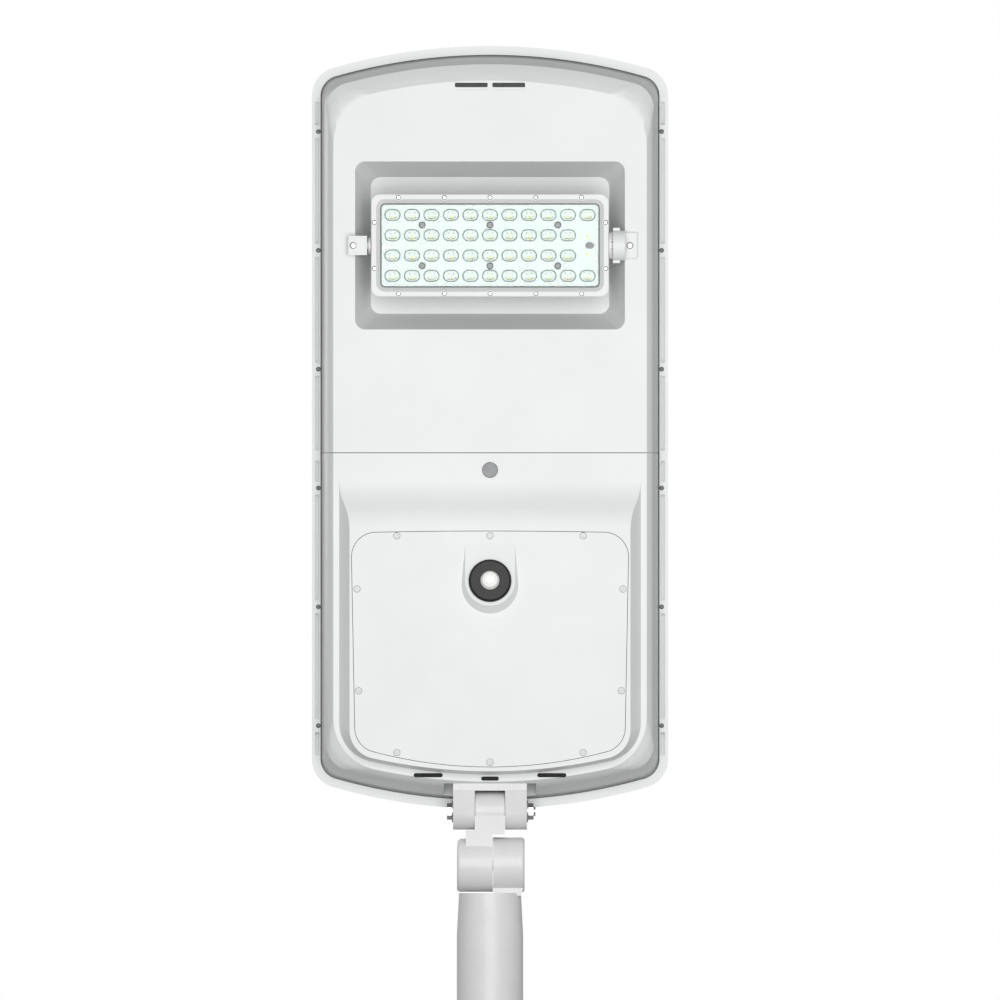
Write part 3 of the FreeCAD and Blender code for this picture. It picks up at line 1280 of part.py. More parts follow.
def clamp(label, side, half, end, foot, hub):
    """A foot on the lamp's face, and a hub that reaches over the recess and holds a trunnion."""
    piece = Piece(label)
    low, high = sorted((f"{side} * clamp_start", f"{side} * {end}"), key=number)
    piece.add(polygons(slab(low, high, f"{LED} - {half}", f"{LED} + {half}")), foot, FACE)
    start, stop = sorted((f"{side} * clamp_start", f"{side} * clamp_hub_end"), key=number)
    piece.add(discs([(LED, AXIS)], hub), start, stop, "YZ")
    return piece


def drill_clamp(piece, side, foot, screw):
    piece.cut(discs([(LED, AXIS)], "trunnion_radius + running_fit"),
              *sorted((f"{side} * clamp_start", f"{side} * clamp_seat"), key=number), "YZ")
    piece.cut(discs([(screw, LED)], "tap_radius + screw_play"), foot, FACE)


def pivot_clamps():
    left_foot, right_foot = f"({AXIS} - left_clamp_hub)", f"({FACE} - clamp_plate)"
    left = clamp("left_clamp", -1, "left_clamp_half", "left_clamp_end", left_foot, "left_clamp_hub")
    saddle = "(left_clamp_half - clamp_lip)"
    left.cut(polygons(slab("-left_clamp_end", "-clamp_start", f"{LED} - {saddle}", f"{LED} + {saddle}")),
             left_foot, f"{left_foot} + saddle_depth")
    drill_clamp(left, -1, left_foot, "-clamp_screw_left")
    right = clamp("right_clamp", 1, "right_clamp_half", "right_clamp_end", right_foot, "right_clamp_radius")
    right.add(discs([(LED, AXIS)], "right_clamp_radius"), "clamp_hub_end", "recess_half_width", "YZ")
    ears = "(right_clamp_radius + clamp_lip)"
    right.add(polygons(slab("clamp_start", "clamp_hub_end", f"{LED} - {ears}", f"{LED} + {ears}")),
              f"{AXIS} - clamp_lip", f"{AXIS} + clamp_lip")
    right.cut(polygons(slab("clamp_hub_end", "right_clamp_end", f"{LED} - {ears}", f"{LED} + {ears}")),
              FACE, f"{AXIS} + right_clamp_radius")
    drill_clamp(right, 1, right_foot, "clamp_screw_right")
    screws = Piece("clamp_screws")
    for screw, seat in (("-clamp_screw_left", f"({left_foot} + saddle_depth)"), ("clamp_screw_right", right_foot)):
        screws.add(discs([(screw, LED)], "tap_radius"), seat, f"{FACE} + tap_length - 1")
        screws.add(discs([(screw, LED)], "tap_head"), seat, f"{seat} - tap_head_height")


# ---------------------------------------------------------------- pole bracket, link and arm
def bolt_along_x(label, y, start, end, radius, flats, head):
    """Hexagon-headed bolt with its head on the -X side of start."""
    piece = Piece(label)
    piece.add(discs([(y, "0")], radius), start, end, "YZ")
    piece.add(polygons(hexagon(y, "0", flats)), f"{start} - {head}", start, "YZ")
    return piece


def ring_along_x(piece, y, start, end, radius, bore):
    piece.add(discs([(y, "0")], radius), start, end, "YZ")
    piece.cut(discs([(y, "0")], bore), start, end, "YZ")


def pole_bracket():
    piece = Piece("pole_bracket")
    wall_face = f"(-({NEAR} - pocket_depth))"
    flange_face = f"({wall_face} - bracket_flange)"
    piece.add(polygons(slab("-bracket_half", "bracket_half", "-bracket_height", "bracket_height")),
              flange_face, wall_face, "XZ")
    slot = "(tongue_half + gap)"
    root = f"(-{flange_face} - ear_round)"
    ear = [(HINGE, "0", "ear_length"), (root, "bracket_height - ear_round", "ear_round"),
           (root, "ear_round - bracket_height", "ear_round")]
    for low, high in (("-bracket_half", f"-{slot}"), (slot, "bracket_half")):
        piece.add(bands(ear), low, high, "YZ")
    piece.cut(discs([(HINGE, "0")], "bolt_radius + running_fit"), "-bracket_half", "bracket_half", "YZ")
    piece.cut(discs(mount_bolt_points(), "mount_bolt_radius"), flange_face + " - 8", wall_face, "XZ")
    plate = Piece("backing_plate")
    inner = f"({wall_face} + wall * 2)"
    plate.add(polygons(slab("-bracket_half", "bracket_half", f"{FACE} + wall", "bracket_height")),
              inner, f"{inner} + backing_thickness", "XZ")
    plate.cut(discs(mount_bolt_points(), "mount_bolt_radius + screw_play"), inner, f"{inner} + backing_thickness",
              "XZ")
    bolts = Piece("bracket_bolts")
    head = f"({inner} + backing_thickness)"
    bolts.add(discs(mount_bolt_points(), "mount_bolt_radius"), f"{flange_face} - 6", head, "XZ")
    bolts.add(discs(mount_bolt_points(), "mount_bolt_radius + 2.5"), head, f"{head} + mount_bolt_radius", "XZ")


def hinge_bolt():
    side = "(bracket_half + washer_thickness)"
    bolt_along_x("hinge_bolt", HINGE, f"-{side}", f"{side} + bolt_nut + 2", "bolt_radius", "bolt_flats", "bolt_head")
    nut = Piece("hinge_nut")
    nut.add(polygons(hexagon(HINGE, "0", "bolt_flats")), side, f"{side} + bolt_nut", "YZ")
    nut.cut(discs([(HINGE, "0")], "bolt_radius"), side, f"{side} + bolt_nut", "YZ")
    washers = Piece("hinge_washers")
    for low, high in ((f"-{side}", "-bracket_half"), ("bracket_half", side)):
        ring_along_x(washers, HINGE, low, high, "washer_radius", "bolt_radius + screw_play")


def link_casting():
    piece = Piece("link_casting")
    piece.add(discs([(KNUCKLE, "0")], "knuckle_radius"), "-knuckle_left", "knuckle_split - gap / 2", "YZ")
    piece.add(discs([(HINGE, "0")], "tongue_radius"), "-tongue_half", "tongue_half", "YZ")
    stop = f"{KNUCKLE} - arm_knuckle_radius - gap * 8"
    piece.add(polygons(slab(HINGE, stop, "-neck_half", "neck_half")), "-tongue_half", "tongue_half", "YZ")
    piece.add(polygons(slab(HINGE, KNUCKLE, "-neck_half", "neck_half")), "-tongue_half", "knuckle_split - gap", "YZ")
    shoulder = f"{HINGE} + ear_length + gap * 2"
    piece.add(polygons([(shoulder, "-neck_half"), (KNUCKLE, "-neck_half"), (KNUCKLE, "neck_half"),
                        (shoulder, "neck_half")]), "-tongue_half - 10.5", "-tongue_half", "YZ")
    piece.cut(discs([(HINGE, "0")], "bolt_radius + running_fit"), "-tongue_half", "tongue_half", "YZ")
    piece.cut(discs([(KNUCKLE, "0")], "knuckle_bolt_radius + running_fit"), "-knuckle_left", "knuckle_split", "YZ")
    piece.cut(discs([(KNUCKLE, "0")], "knuckle_bore"), "-knuckle_left", "-knuckle_left + knuckle_bore_depth", "YZ")
    piece.notch_face(KNUCKLE, "0", "(knuckle_radius - 8)", "(knuckle_radius - 0.8)",
                     "knuckle_split - gap / 2 - tooth_depth", "knuckle_split - gap / 2", "knuckle_teeth")


def set_screw_spots():
    """Places of the pole set screws: two over the socket and one at each side of its mouth."""
    return [("XY", [("0", "-set_screw_first"), ("0", "-set_screw_second")], 1),
            ("YZ", [("-set_screw_first", "0")], -1), ("YZ", [("-set_screw_first", "0")], 1)]


def arm_sleeve():
    piece = Piece("arm_sleeve")
    outer = "(pole_bore / 2 + sleeve_wall)"
    piece.add(discs([("0", "0")], outer), "0", "sleeve_straight", "XZ")
    piece.loft([(discs([("0", "0")], outer), "sleeve_straight"),
                (discs([("0", "0")], f"{outer} - sleeve_taper"), "sleeve_shoulder")], plane="XZ")
    piece.add(discs([(KNUCKLE, "0")], "arm_knuckle_radius"), "knuckle_split + gap / 2", "knuckle_right", "YZ")
    web = [("knuckle_split + gap / 2", KNUCKLE), ("knuckle_right", KNUCKLE),
           ("knuckle_right", f"{KNUCKLE} + neck_half"), (f"{outer} - sleeve_taper", "-sleeve_shoulder + wall"),
           ("knuckle_split + gap / 2", "-sleeve_shoulder + wall")]
    piece.add(polygons(web), "-neck_half * 0.8", "neck_half * 0.8")
    for plane, points, side in set_screw_spots():
        piece.add(discs(points, "set_screw_boss"), f"{side} * (pole_bore / 2 + wall)",
                  f"{side} * ({outer} + boss_height)", plane)
    piece.cut(discs([("0", "0")], "pole_bore / 2"), "0", "socket_depth", "XZ")
    piece.cut(discs([("0", "0")], "pole_bore / 2 - sleeve_wall"), "socket_depth", "sleeve_shoulder - sleeve_wall", "XZ")
    for plane, points, side in set_screw_spots():
        piece.cut(discs(points, "set_screw_radius"), f"{side} * (pole_bore / 2 - 1)",
                  f"{side} * ({outer} + boss_height + 1)", plane)
    piece.cut(discs([(KNUCKLE, "0")], "knuckle_bolt_radius"), "knuckle_split", "knuckle_right", "YZ")
    nut_seat = "knuckle_right - knuckle_bore_depth"
    piece.cut(discs([(KNUCKLE, "0")], "knuckle_bore"), nut_seat, "knuckle_right", "YZ")
    piece.notch_face(KNUCKLE, "0", "(knuckle_radius - 8)", "(knuckle_radius - 0.8)",
                     "knuckle_split + gap / 2", "knuckle_split + gap / 2 + tooth_depth", "knuckle_teeth")


def pole_screws():
    piece = Piece("pole_set_screws")
    nuts = Piece("set_screw_nuts")
    boss = "(pole_bore / 2 + sleeve_wall + boss_height)"
    for plane, points, side in set_screw_spots():
        piece.add(discs(points, "set_screw_radius"), f"{side} * (pole_bore / 2 + 1)",
                  f"{side} * ({boss} + set_screw_length - 7)", plane)
        for x, y in points:
            nuts.add(polygons(hexagon(x, y, "bolt_flats")), f"{side} * {boss}", f"{side} * ({boss} + bolt_nut)", plane)
        nuts.cut(discs(points, "set_screw_radius"), f"{side} * {boss}", f"{side} * ({boss} + bolt_nut)", plane)


def knuckle_bolt():
    head = "(-knuckle_left + knuckle_bore_depth - washer_thickness)"
    seat = "(knuckle_right - knuckle_bore_depth)"
    piece = Piece("knuckle_bolt")
    piece.add(discs([(KNUCKLE, "0")], "knuckle_bolt_radius"), head, f"{seat} + 12", "YZ")
    piece.add(discs([(KNUCKLE, "0")], "knuckle_head"), f"{head} - 9", head, "YZ")
    piece.cut(polygons(hexagon(KNUCKLE, "0", "8")), f"{head} - 9", f"{head} - 4", "YZ")
    washer = Piece("knuckle_washer")
    ring_along_x(washer, KNUCKLE, head, f"{head} + washer_thickness - gap / 4", "washer_radius", "knuckle_bolt_radius")
    nut = Piece("knuckle_nut")
    nut.add(polygons(hexagon(KNUCKLE, "0", "18")), seat, f"{seat} + 10", "YZ")
    nut.cut(discs([(KNUCKLE, "0")], "knuckle_bolt_radius"), seat, f"{seat} + 10", "YZ")


# ---------------------------------------------------------------- build, check and export
def fasteners():
    small_screws("rim_screws", rim_screw_points(), f"{RIM} + small_head_height", f"{LEDGE} - {RIM} - 2 * small_head_height")
    large_screws("cover_screws", cover_screw_points(), f"{BULGE} + tap_head_height", "tap_length")
    small_screws("module_screws", frame_screw_points(), f"{FRONT} + small_head_height", "module_frame_depth + 2")
    tap_screws("board_screws", board_screw_points(), LENS_FRONT, "small_radius", "board_head", "small_head_height",
               f"{FRAME_BACK} - {LENS_FRONT} + sink_base - 1 - gap")


for make in (rim_bezel, panel_frame, panel_seal, solar_panel, upper_shell, vent_louvres, cable_gland, lower_shell,
             seam_joiner, drain_plugs, battery_cover, cover_seal, motion_sensor, power_switch, battery_pack,
             electronics, module_frame, lens_plate, led_board, module_heatsink, trunnions, pivot_clamps,
             pole_bracket, hinge_bolt, link_casting, arm_sleeve, pole_screws, knuckle_bolt, fasteners):
    make()
doc.recompute()

for item in doc.Objects:
    if "Invalid" in item.State or "Error" in item.State:
        raise RuntimeError(f"{item.Name} failed: {item.getStatusString()}")
os.makedirs("parts", exist_ok=True)
for body in PIECES:
    if body.Shape.isNull() or not body.Shape.isValid():
        raise RuntimeError(f"{body.Label} has no valid shape")
    print(body.Label, len(body.Shape.Solids), round(body.Shape.Volume))
for body in PIECES:
    body.Shape.exportStep(f"parts/{body.Label}.step")
print(len(PIECES), "pieces")
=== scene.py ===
# %% [markdown]
# # Solar street lamp
# This lesson dresses the CAD frame of an all-in-one solar street lamp. The CAD holds every piece
# and every joint. Here the moulded shells get the soft edges that a mould gives them, the optics,
# screws and solar cells get their fine shapes, and every piece gets a finish of its own.

# %% Load the frame
import json
import math

import bmesh
import bpy
from mathutils import Matrix, Vector


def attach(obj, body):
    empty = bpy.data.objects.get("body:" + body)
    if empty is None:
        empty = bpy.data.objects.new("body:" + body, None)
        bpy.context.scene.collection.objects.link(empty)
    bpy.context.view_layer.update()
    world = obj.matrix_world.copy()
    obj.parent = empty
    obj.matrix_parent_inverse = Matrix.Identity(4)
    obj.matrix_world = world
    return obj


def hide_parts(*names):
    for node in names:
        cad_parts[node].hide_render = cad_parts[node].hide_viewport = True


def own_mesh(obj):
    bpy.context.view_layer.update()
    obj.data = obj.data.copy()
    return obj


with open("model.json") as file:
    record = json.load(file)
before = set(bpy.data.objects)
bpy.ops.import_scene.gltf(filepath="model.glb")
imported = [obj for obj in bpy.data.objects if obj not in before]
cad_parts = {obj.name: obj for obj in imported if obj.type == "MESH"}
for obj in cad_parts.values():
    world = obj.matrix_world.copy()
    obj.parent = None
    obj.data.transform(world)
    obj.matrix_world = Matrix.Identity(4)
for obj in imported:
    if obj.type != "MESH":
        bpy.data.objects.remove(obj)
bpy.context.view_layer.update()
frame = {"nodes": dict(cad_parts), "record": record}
MM = 0.001
node_body = {node: body for body, nodes in frame["record"]["behaviour"]["bodies"].items() for node in nodes}

# %% [markdown]
# ## Camera
# The lamp is looked at from straight below, so that the picture's top is the lamp's free end.
# An orthographic camera keeps the recess walls symmetrical, as a long lens far below would.

# %% Camera
VIEW_WIDTH = 1.1
VIEW_CENTRE = Vector((0.011, -0.5915, -1.5))
camera_data = bpy.data.cameras.new("camera")
camera_data.type = "ORTHO"
camera_data.ortho_scale = VIEW_WIDTH
camera = bpy.data.objects.new("camera", camera_data)
bpy.context.scene.collection.objects.link(camera)
right, up, back = Vector((1, 0, 0)), Vector((0, -1, 0)), Vector((0, 0, -1))
camera.matrix_world = Matrix((
    (right.x, up.x, back.x, VIEW_CENTRE.x),
    (right.y, up.y, back.y, VIEW_CENTRE.y),
    (right.z, up.z, back.z, VIEW_CENTRE.z),
    (0, 0, 0, 1)))
bpy.context.scene.camera = camera
print("camera looks along", tuple(round(-value, 2) for value in camera.matrix_world.col[2][:3]))

# %% [markdown]
# ## Light and floor
# A catalogue picture of a white product needs a white surround and one big soft light on the
# camera's side, so that faces turned to the camera are brightest and steep walls fall to grey.
# A second softbox overhead is for the views of the panel. The floor lies well under the camera.

# %% Light and floor
FLOOR_LEVEL = -2.6
GLOW_STRENGTH = 0.36


def soft_light(name, place, turn, size, power):
    """A square softbox."""
    data = bpy.data.lights.new(name, "AREA")
    data.size = size
    data.energy = power
    light = bpy.data.objects.new(name, data)
    light.location = place
    light.rotation_euler = turn
    bpy.context.scene.collection.objects.link(light)


soft_light("softbox_below", (0.1, -0.75, -2.3), (math.pi, 0, 0), 1.6, 40)
soft_light("softbox_above", (-0.9, -1.3, 2.2), (math.radians(-18), math.radians(-22), 0), 1.8, 36)
world = bpy.data.worlds.new("pale_surround")
bpy.context.scene.world = world
world.use_nodes = True
surround = world.node_tree
surround.nodes.clear()
seen = surround.nodes.new("ShaderNodeBackground")
seen.inputs["Color"].default_value = (1, 1, 1, 1)
glow = surround.nodes.new("ShaderNodeBackground")
glow.inputs["Color"].default_value = (1, 1, 1, 1)
glow.inputs["Strength"].default_value = GLOW_STRENGTH
path = surround.nodes.new("ShaderNodeLightPath")
choice = surround.nodes.new("ShaderNodeMixShader")
output = surround.nodes.new("ShaderNodeOutputWorld")
surround.links.new(path.outputs["Is Camera Ray"], choice.inputs[0])
surround.links.new(glow.outputs[0], choice.inputs[1])
surround.links.new(seen.outputs[0], choice.inputs[2])
surround.links.new(choice.outputs[0], output.inputs["Surface"])
bpy.context.scene.view_settings.view_transform = "Standard"

floor_mesh = bpy.data.meshes.new("floor")
form = bmesh.new()
bmesh.ops.create_grid(form, x_segments=1, y_segments=1, size=6,
                      matrix=Matrix.Translation((0, 0, FLOOR_LEVEL)))
form.to_mesh(floor_mesh)
form.free()
floor = bpy.data.objects.new("floor", floor_mesh)
bpy.context.scene.collection.objects.link(floor)

# %% [markdown]
# ## Material tools
# Colours are picked as sRGB hex values and turned to linear, because the shaders add up light.
# One function adds a node, sets it and links it, and every finish below is built from it.


# %% Material tools
def linear(code):
    """sRGB hex colour as linear RGBA."""
    parts = [int(code[place:place + 2], 16) / 255 for place in (1, 3, 5)]
    return [part / 12.92 if part <= 0.04045 else ((part + 0.055) / 1.055) ** 2.4 for part in parts] + [1]


def add(tree, kind, inputs=None, **settings):
    """A node with its settings. Each input is a plain value or the output of another node."""
    made = tree.nodes.new(f"ShaderNode{kind}")
    for name, value in settings.items():
        setattr(made, name, value)
    for name, value in (inputs or {}).items():
        if isinstance(value, bpy.types.NodeSocket):
            tree.links.new(value, made.inputs[name])
        else:
            made.inputs[name].default_value = value
    return made


def start(name):
    """An empty material with its output and its Object coordinates."""
    material = bpy.data.materials.new(name)
    material.use_nodes = True
    material.node_tree.nodes.clear()
    end = add(material.node_tree, "OutputMaterial")
    place = add(material.node_tree, "TexCoord").outputs["Object"]
    return material, material.node_tree, end, place


def grains(size):
    """Texture scale whose features are about size millimetres apart."""
    return 1 / (size * MM)


def moulded(name, light, dark, roughness, grain, depth, spread=90, coat=0.0):
    """A pigmented plastic or paint: a slow drift of colour, fine grain in the surface and the sheen."""
    material, tree, end, place = start(name)
    drift = add(tree, "TexNoise", {"Vector": place, "Scale": grains(spread), "Detail": 3.0,
                                   "Roughness": 0.55})
    colour = add(tree, "ValToRGB", {"Fac": drift.outputs["Fac"]})
    colour.color_ramp.elements[0].position = 0.3
    colour.color_ramp.elements[0].color = linear(dark)
    colour.color_ramp.elements[1].position = 0.7
    colour.color_ramp.elements[1].color = linear(light)
    fine = add(tree, "TexNoise", {"Vector": place, "Scale": grains(grain), "Detail": 4.0, "Roughness": 0.6})
    sheen = add(tree, "MapRange", {"Value": fine.outputs["Fac"], "To Min": roughness - 0.06,
                                   "To Max": roughness + 0.08})
    bump = add(tree, "Bump", {"Height": fine.outputs["Fac"], "Distance": depth * MM, "Strength": 0.6})
    body = add(tree, "BsdfPrincipled", {"Base Color": colour.outputs["Color"], "IOR": 1.49,
                                        "Roughness": sheen.outputs["Result"],
                                        "Normal": bump.outputs["Normal"], "Coat Weight": coat})
    tree.links.new(body.outputs[0], end.inputs["Surface"])
    return material


def metal(name, light, dark, roughness, grain, stretch=(1, 1, 1)):
    """A bare metal: grain drawn out along one way, and a slow stain in its colour."""
    material, tree, end, place = start(name)
    drawn = add(tree, "Mapping", {"Vector": place, "Scale": stretch})
    lines = add(tree, "TexNoise", {"Vector": drawn.outputs[0], "Scale": grains(grain), "Detail": 5.0})
    colour = add(tree, "ValToRGB", {"Fac": lines.outputs["Fac"]})
    colour.color_ramp.elements[0].color = linear(dark)
    colour.color_ramp.elements[1].color = linear(light)
    sheen = add(tree, "MapRange", {"Value": lines.outputs["Fac"], "To Min": roughness - 0.08,
                                   "To Max": roughness + 0.1})
    bump = add(tree, "Bump", {"Height": lines.outputs["Fac"], "Distance": 0.02 * MM, "Strength": 0.5})
    body = add(tree, "BsdfPrincipled", {"Base Color": colour.outputs["Color"], "Metallic": 1.0,
                                        "Roughness": sheen.outputs["Result"],
                                        "Normal": bump.outputs["Normal"]})
    tree.links.new(body.outputs[0], end.inputs["Surface"])
    return material


def clear(name, tint, roughness, index, ripple_size, ripple_depth):
    """A clear moulding or glass, with the slight ripple of its surface."""
    material, tree, end, place = start(name)
    ripple = add(tree, "TexNoise", {"Vector": place, "Scale": grains(ripple_size), "Detail": 2.0})
    bump = add(tree, "Bump", {"Height": ripple.outputs["Fac"], "Distance": ripple_depth * MM,
                              "Strength": 0.4})
    body = add(tree, "BsdfPrincipled", {"Base Color": linear(tint), "Roughness": roughness, "IOR": index,
                                        "Transmission Weight": 1.0, "Normal": bump.outputs["Normal"]})
    tree.links.new(body.outputs[0], end.inputs["Surface"])
    return material

# %% [markdown]
# ## White plastics and paints
# The shells are ASA or a UV-stable ABS blend from a steel mould with a fine spark-eroded texture:
# satin, and a hair warmer where the pigment drifts. The rim and the castings are powder coated
# aluminium, which gives an orange-peel skin with waves of one to two millimetres.

# %% White plastics and paints
finishes = {
    "white_abs": moulded("asa_spark_textured", "#E4E5E5", "#E0E1E1", 0.46, 0.9, 0.035),
    "frame_coat": moulded("powder_coat_on_extrusion", "#E3E4E4", "#DFE0E0", 0.38, 1.8, 0.05, 60, 0.15),
    "arm_coat": moulded("powder_coat_on_casting", "#DDDDDD", "#D7D7D7", 0.42, 1.5, 0.07, 40, 0.12),
    "joiner_abs": moulded("natural_abs_strip", "#B9BABA", "#AFB0B0", 0.5, 1.2, 0.05),
    "switch_abs": moulded("nylon_housing", "#E4E4E2", "#DAD9D5", 0.5, 0.8, 0.04, 12),
    "pin_nylon": moulded("nylon_pins", "#F6F6F4", "#E9E9E6", 0.4, 0.5, 0.02, 3),
    "backsheet": moulded("laminated_backsheet", "#ECECEA", "#E2E2DF", 0.55, 2.5, 0.04, 50),
    "vent_grey": moulded("membrane_carrier", "#3C3E40", "#2E3032", 0.6, 0.7, 0.05, 6),
    "sensor_black": moulded("black_abs_ring", "#0B0B0C", "#070708", 0.5, 0.6, 0.02, 10),
    "holder_black": moulded("black_abs_holders", "#232425", "#191A1B", 0.5, 0.9, 0.04, 15),
    "seal_rubber": moulded("epdm_sponge", "#26272A", "#151618", 0.85, 0.6, 0.12, 5),
    "button_rubber": moulded("silicone_rubber_grey", "#9C9D9E", "#909192", 0.6, 0.5, 0.03, 6),
    "board_white": moulded("white_solder_mask", "#DCE1DF", "#D4DAD7", 0.35, 1.1, 0.01, 25),
}
print("plastics and paints:", len(finishes))

# %% [markdown]
# ## Metals
# Stainless screws and bolts are bright with fine turning lines. The heat sink is cast aluminium,
# bare on its fins, duller and with a coarser grain. The rim's and the board's screws are dull zinc,
# and the cover's have painted heads.

# %% Metals
finishes["bright_steel"] = metal("stainless_turned", "#D6D6D4", "#A9A9A8", 0.3, 1.2, (1, 1, 6))
finishes["sink_aluminium"] = metal("cast_aluminium", "#D9DADB", "#B9BABC", 0.42, 2.0)
heads = {
    "rim_screws": metal("dull_zinc", "#7E7F82", "#626366", 0.5, 0.8),
    "board_screws": metal("grey_zinc", "#9B9C9E", "#7C7D7F", 0.5, 0.8),
    "cover_screws": moulded("screw_heads_painted", "#E2E3E3", "#DCDDDD", 0.45, 0.7, 0.03, 5),
}
print("metals:", finishes["bright_steel"].name, finishes["sink_aluminium"].name, *heads)

# %% [markdown]
# ## Clear pieces
# Tempered solar glass and the polycarbonate optics are clear. A path tracer finds hardly any light
# through glass by chance, so for shadow rays alone the glass is see-through, which lets the
# softboxes reach the cells behind it.


# %% Clear pieces
def lets_lamps_through(material, share):
    """Mixes a transparent shader in, for shadow rays only."""
    tree = material.node_tree
    end = next(node for node in tree.nodes if node.type == "OUTPUT_MATERIAL")
    glass = end.inputs["Surface"].links[0].from_socket
    path = add(tree, "LightPath")
    open_share = add(tree, "Math", {0: path.outputs["Is Shadow Ray"], 1: share}, operation="MULTIPLY")
    through = add(tree, "BsdfTransparent")
    both = add(tree, "MixShader", {0: open_share.outputs[0], 1: glass, 2: through.outputs[0]})
    tree.links.new(both.outputs[0], end.inputs["Surface"])
    return material


solar_glass = clear("tempered_solar_glass", "#F4FBFA", 0.04, 1.52, 1.6, 0.02)
finishes["panel_glass"] = lets_lamps_through(solar_glass, 0.9)

# The optics are thin, and the board lies right behind them, so they bend the view hardly at all:
# tinted light goes straight through, and a twentieth of it shines off the skin.
optics, tree, end, place = start("polycarbonate_optics")
ripple = add(tree, "TexNoise", {"Vector": place, "Scale": grains(6), "Detail": 2.0})
tint = add(tree, "ValToRGB", {"Fac": ripple.outputs["Fac"]})
tint.color_ramp.elements[0].color = linear("#F5FAF8")
tint.color_ramp.elements[1].color = linear("#F9FCFB")
through = add(tree, "BsdfTransparent", {"Color": tint.outputs["Color"]})
shine = add(tree, "BsdfGlossy", {"Roughness": 0.08})
skin = add(tree, "MixShader", {0: 0.05, 1: through.outputs[0], 2: shine.outputs[0]})
tree.links.new(skin.outputs[0], end.inputs["Surface"])
finishes["lens_pc"] = optics
print("clear:", finishes["panel_glass"].name, finishes["lens_pc"].name)

# %% [markdown]
# ## Translucent dome
# The sensor's dome is thin milky polyethylene, which lets infrared through. Light soaks into it a
# little way, so its edge glows softly instead of going dark.

# %% Translucent dome
dome, tree, end, place = start("milky_polyethylene")
mottle = add(tree, "TexNoise", {"Vector": place, "Scale": grains(4), "Detail": 2.0})
milky = add(tree, "ValToRGB", {"Fac": mottle.outputs["Fac"]})
milky.color_ramp.elements[0].color = linear("#F2F2EE")
milky.color_ramp.elements[1].color = linear("#FBFBF9")
body = add(tree, "BsdfPrincipled", {"Base Color": milky.outputs["Color"], "Roughness": 0.28, "IOR": 1.51,
                                    "Subsurface Weight": 0.5, "Subsurface Radius": (1, 1, 1),
                                    "Subsurface Scale": 1.5 * MM})
tree.links.new(body.outputs[0], end.inputs["Surface"])
finishes["dome_pe"] = dome
print("dome:", dome.name)

# %% [markdown]
# ## Solar cells
# A monocrystalline cell is nearly black blue. Silver fingers 1.6 mm apart run across it, too fine
# to see from a few metres, and ten brighter busbars collect from them. The fingers are drawn here
# as a faint stripe and the busbars as lines, both from the piece's own coordinates in millimetres.

# %% Solar cells
CELL_ACROSS = 182 + 2.4
BUSBARS = 10


def stripes(tree, distance, pitch, width):
    """1 on lines `width` wide every `pitch` along `distance`, all in millimetres, with soft edges."""
    phase = add(tree, "Math", {0: distance, 1: pitch}, operation="PINGPONG")
    fall = add(tree, "MapRange", {"Value": phase.outputs[0], "From Min": width / 2, "From Max": width,
                                  "To Min": 1.0, "To Max": 0.0})
    return fall.outputs["Result"]


cells, tree, end, place = start("monocrystalline_silicon")
axes = add(tree, "SeparateXYZ", {"Vector": place})
across = add(tree, "Math", {0: axes.outputs["X"], 1: 1 / MM}, operation="MULTIPLY")
along = add(tree, "Math", {0: axes.outputs["Y"], 1: 1 / MM}, operation="MULTIPLY")
busbars = stripes(tree, across.outputs[0], CELL_ACROSS / BUSBARS / 2, 0.7)
fingers = stripes(tree, along.outputs[0], 0.8, 0.15)
grain = add(tree, "TexNoise", {"Vector": place, "Scale": grains(40), "Detail": 2.0})
blue = add(tree, "ValToRGB", {"Fac": grain.outputs["Fac"]})
blue.color_ramp.elements[0].color = linear("#0C1530")
blue.color_ramp.elements[1].color = linear("#14203F")
fine = add(tree, "Math", {0: fingers, 1: 0.16}, operation="MULTIPLY")
with_fingers = add(tree, "MixRGB", {"Fac": fine.outputs[0], "Color1": blue.outputs["Color"],
                                    "Color2": linear("#AEB6C4")})
with_busbars = add(tree, "MixRGB", {"Fac": busbars, "Color1": with_fingers.outputs["Color"],
                                    "Color2": linear("#C9CDD3")})
body = add(tree, "BsdfPrincipled", {"Base Color": with_busbars.outputs["Color"], "Roughness": 0.32,
                                    "IOR": 1.5})
tree.links.new(body.outputs[0], end.inputs["Surface"])
finishes["silicon"] = cells
print("busbars every", round(CELL_ACROSS / BUSBARS, 2), "mm")

# %% [markdown]
# ## Boards, wraps and phosphor
# Circuit boards are glass epoxy under green mask, with tracks a shade lighter. Battery cells wear
# blue shrink film. The LED's phosphor is a matt yellow silicone with a coarse grain.


# %% Boards, wraps and phosphor
def tracked(name, mask, track, pitch):
    """Solder mask with square tracks showing through it."""
    material, tree, end, place = start(name)
    cells_of = add(tree, "TexBrick", {"Vector": place, "Color1": linear(mask), "Color2": linear(mask),
                                      "Mortar": linear(track), "Scale": 1.0, "Mortar Size": 0.3 * MM,
                                      "Brick Width": pitch * 2 * MM, "Row Height": pitch * MM})
    body = add(tree, "BsdfPrincipled", {"Base Color": cells_of.outputs["Color"], "Roughness": 0.35})
    tree.links.new(body.outputs[0], end.inputs["Surface"])
    return material


finishes["board_green"] = tracked("green_solder_mask", "#124A2A", "#2C7A4A", 3.5)
finishes["cell_wrap"] = moulded("blue_shrink_film", "#2C5E9E", "#234E88", 0.28, 2.5, 0.03, 20)
finishes["phosphor"] = moulded("yellow_phosphor", "#F6EA1E", "#EBDC12", 0.6, 0.4, 0.03, 1)
floor.data.materials.append(moulded("pale_floor_paint", "#F2F2F2", "#EFEFEF", 0.7, 30, 0.2, 900))
print("finishes:", len(finishes))

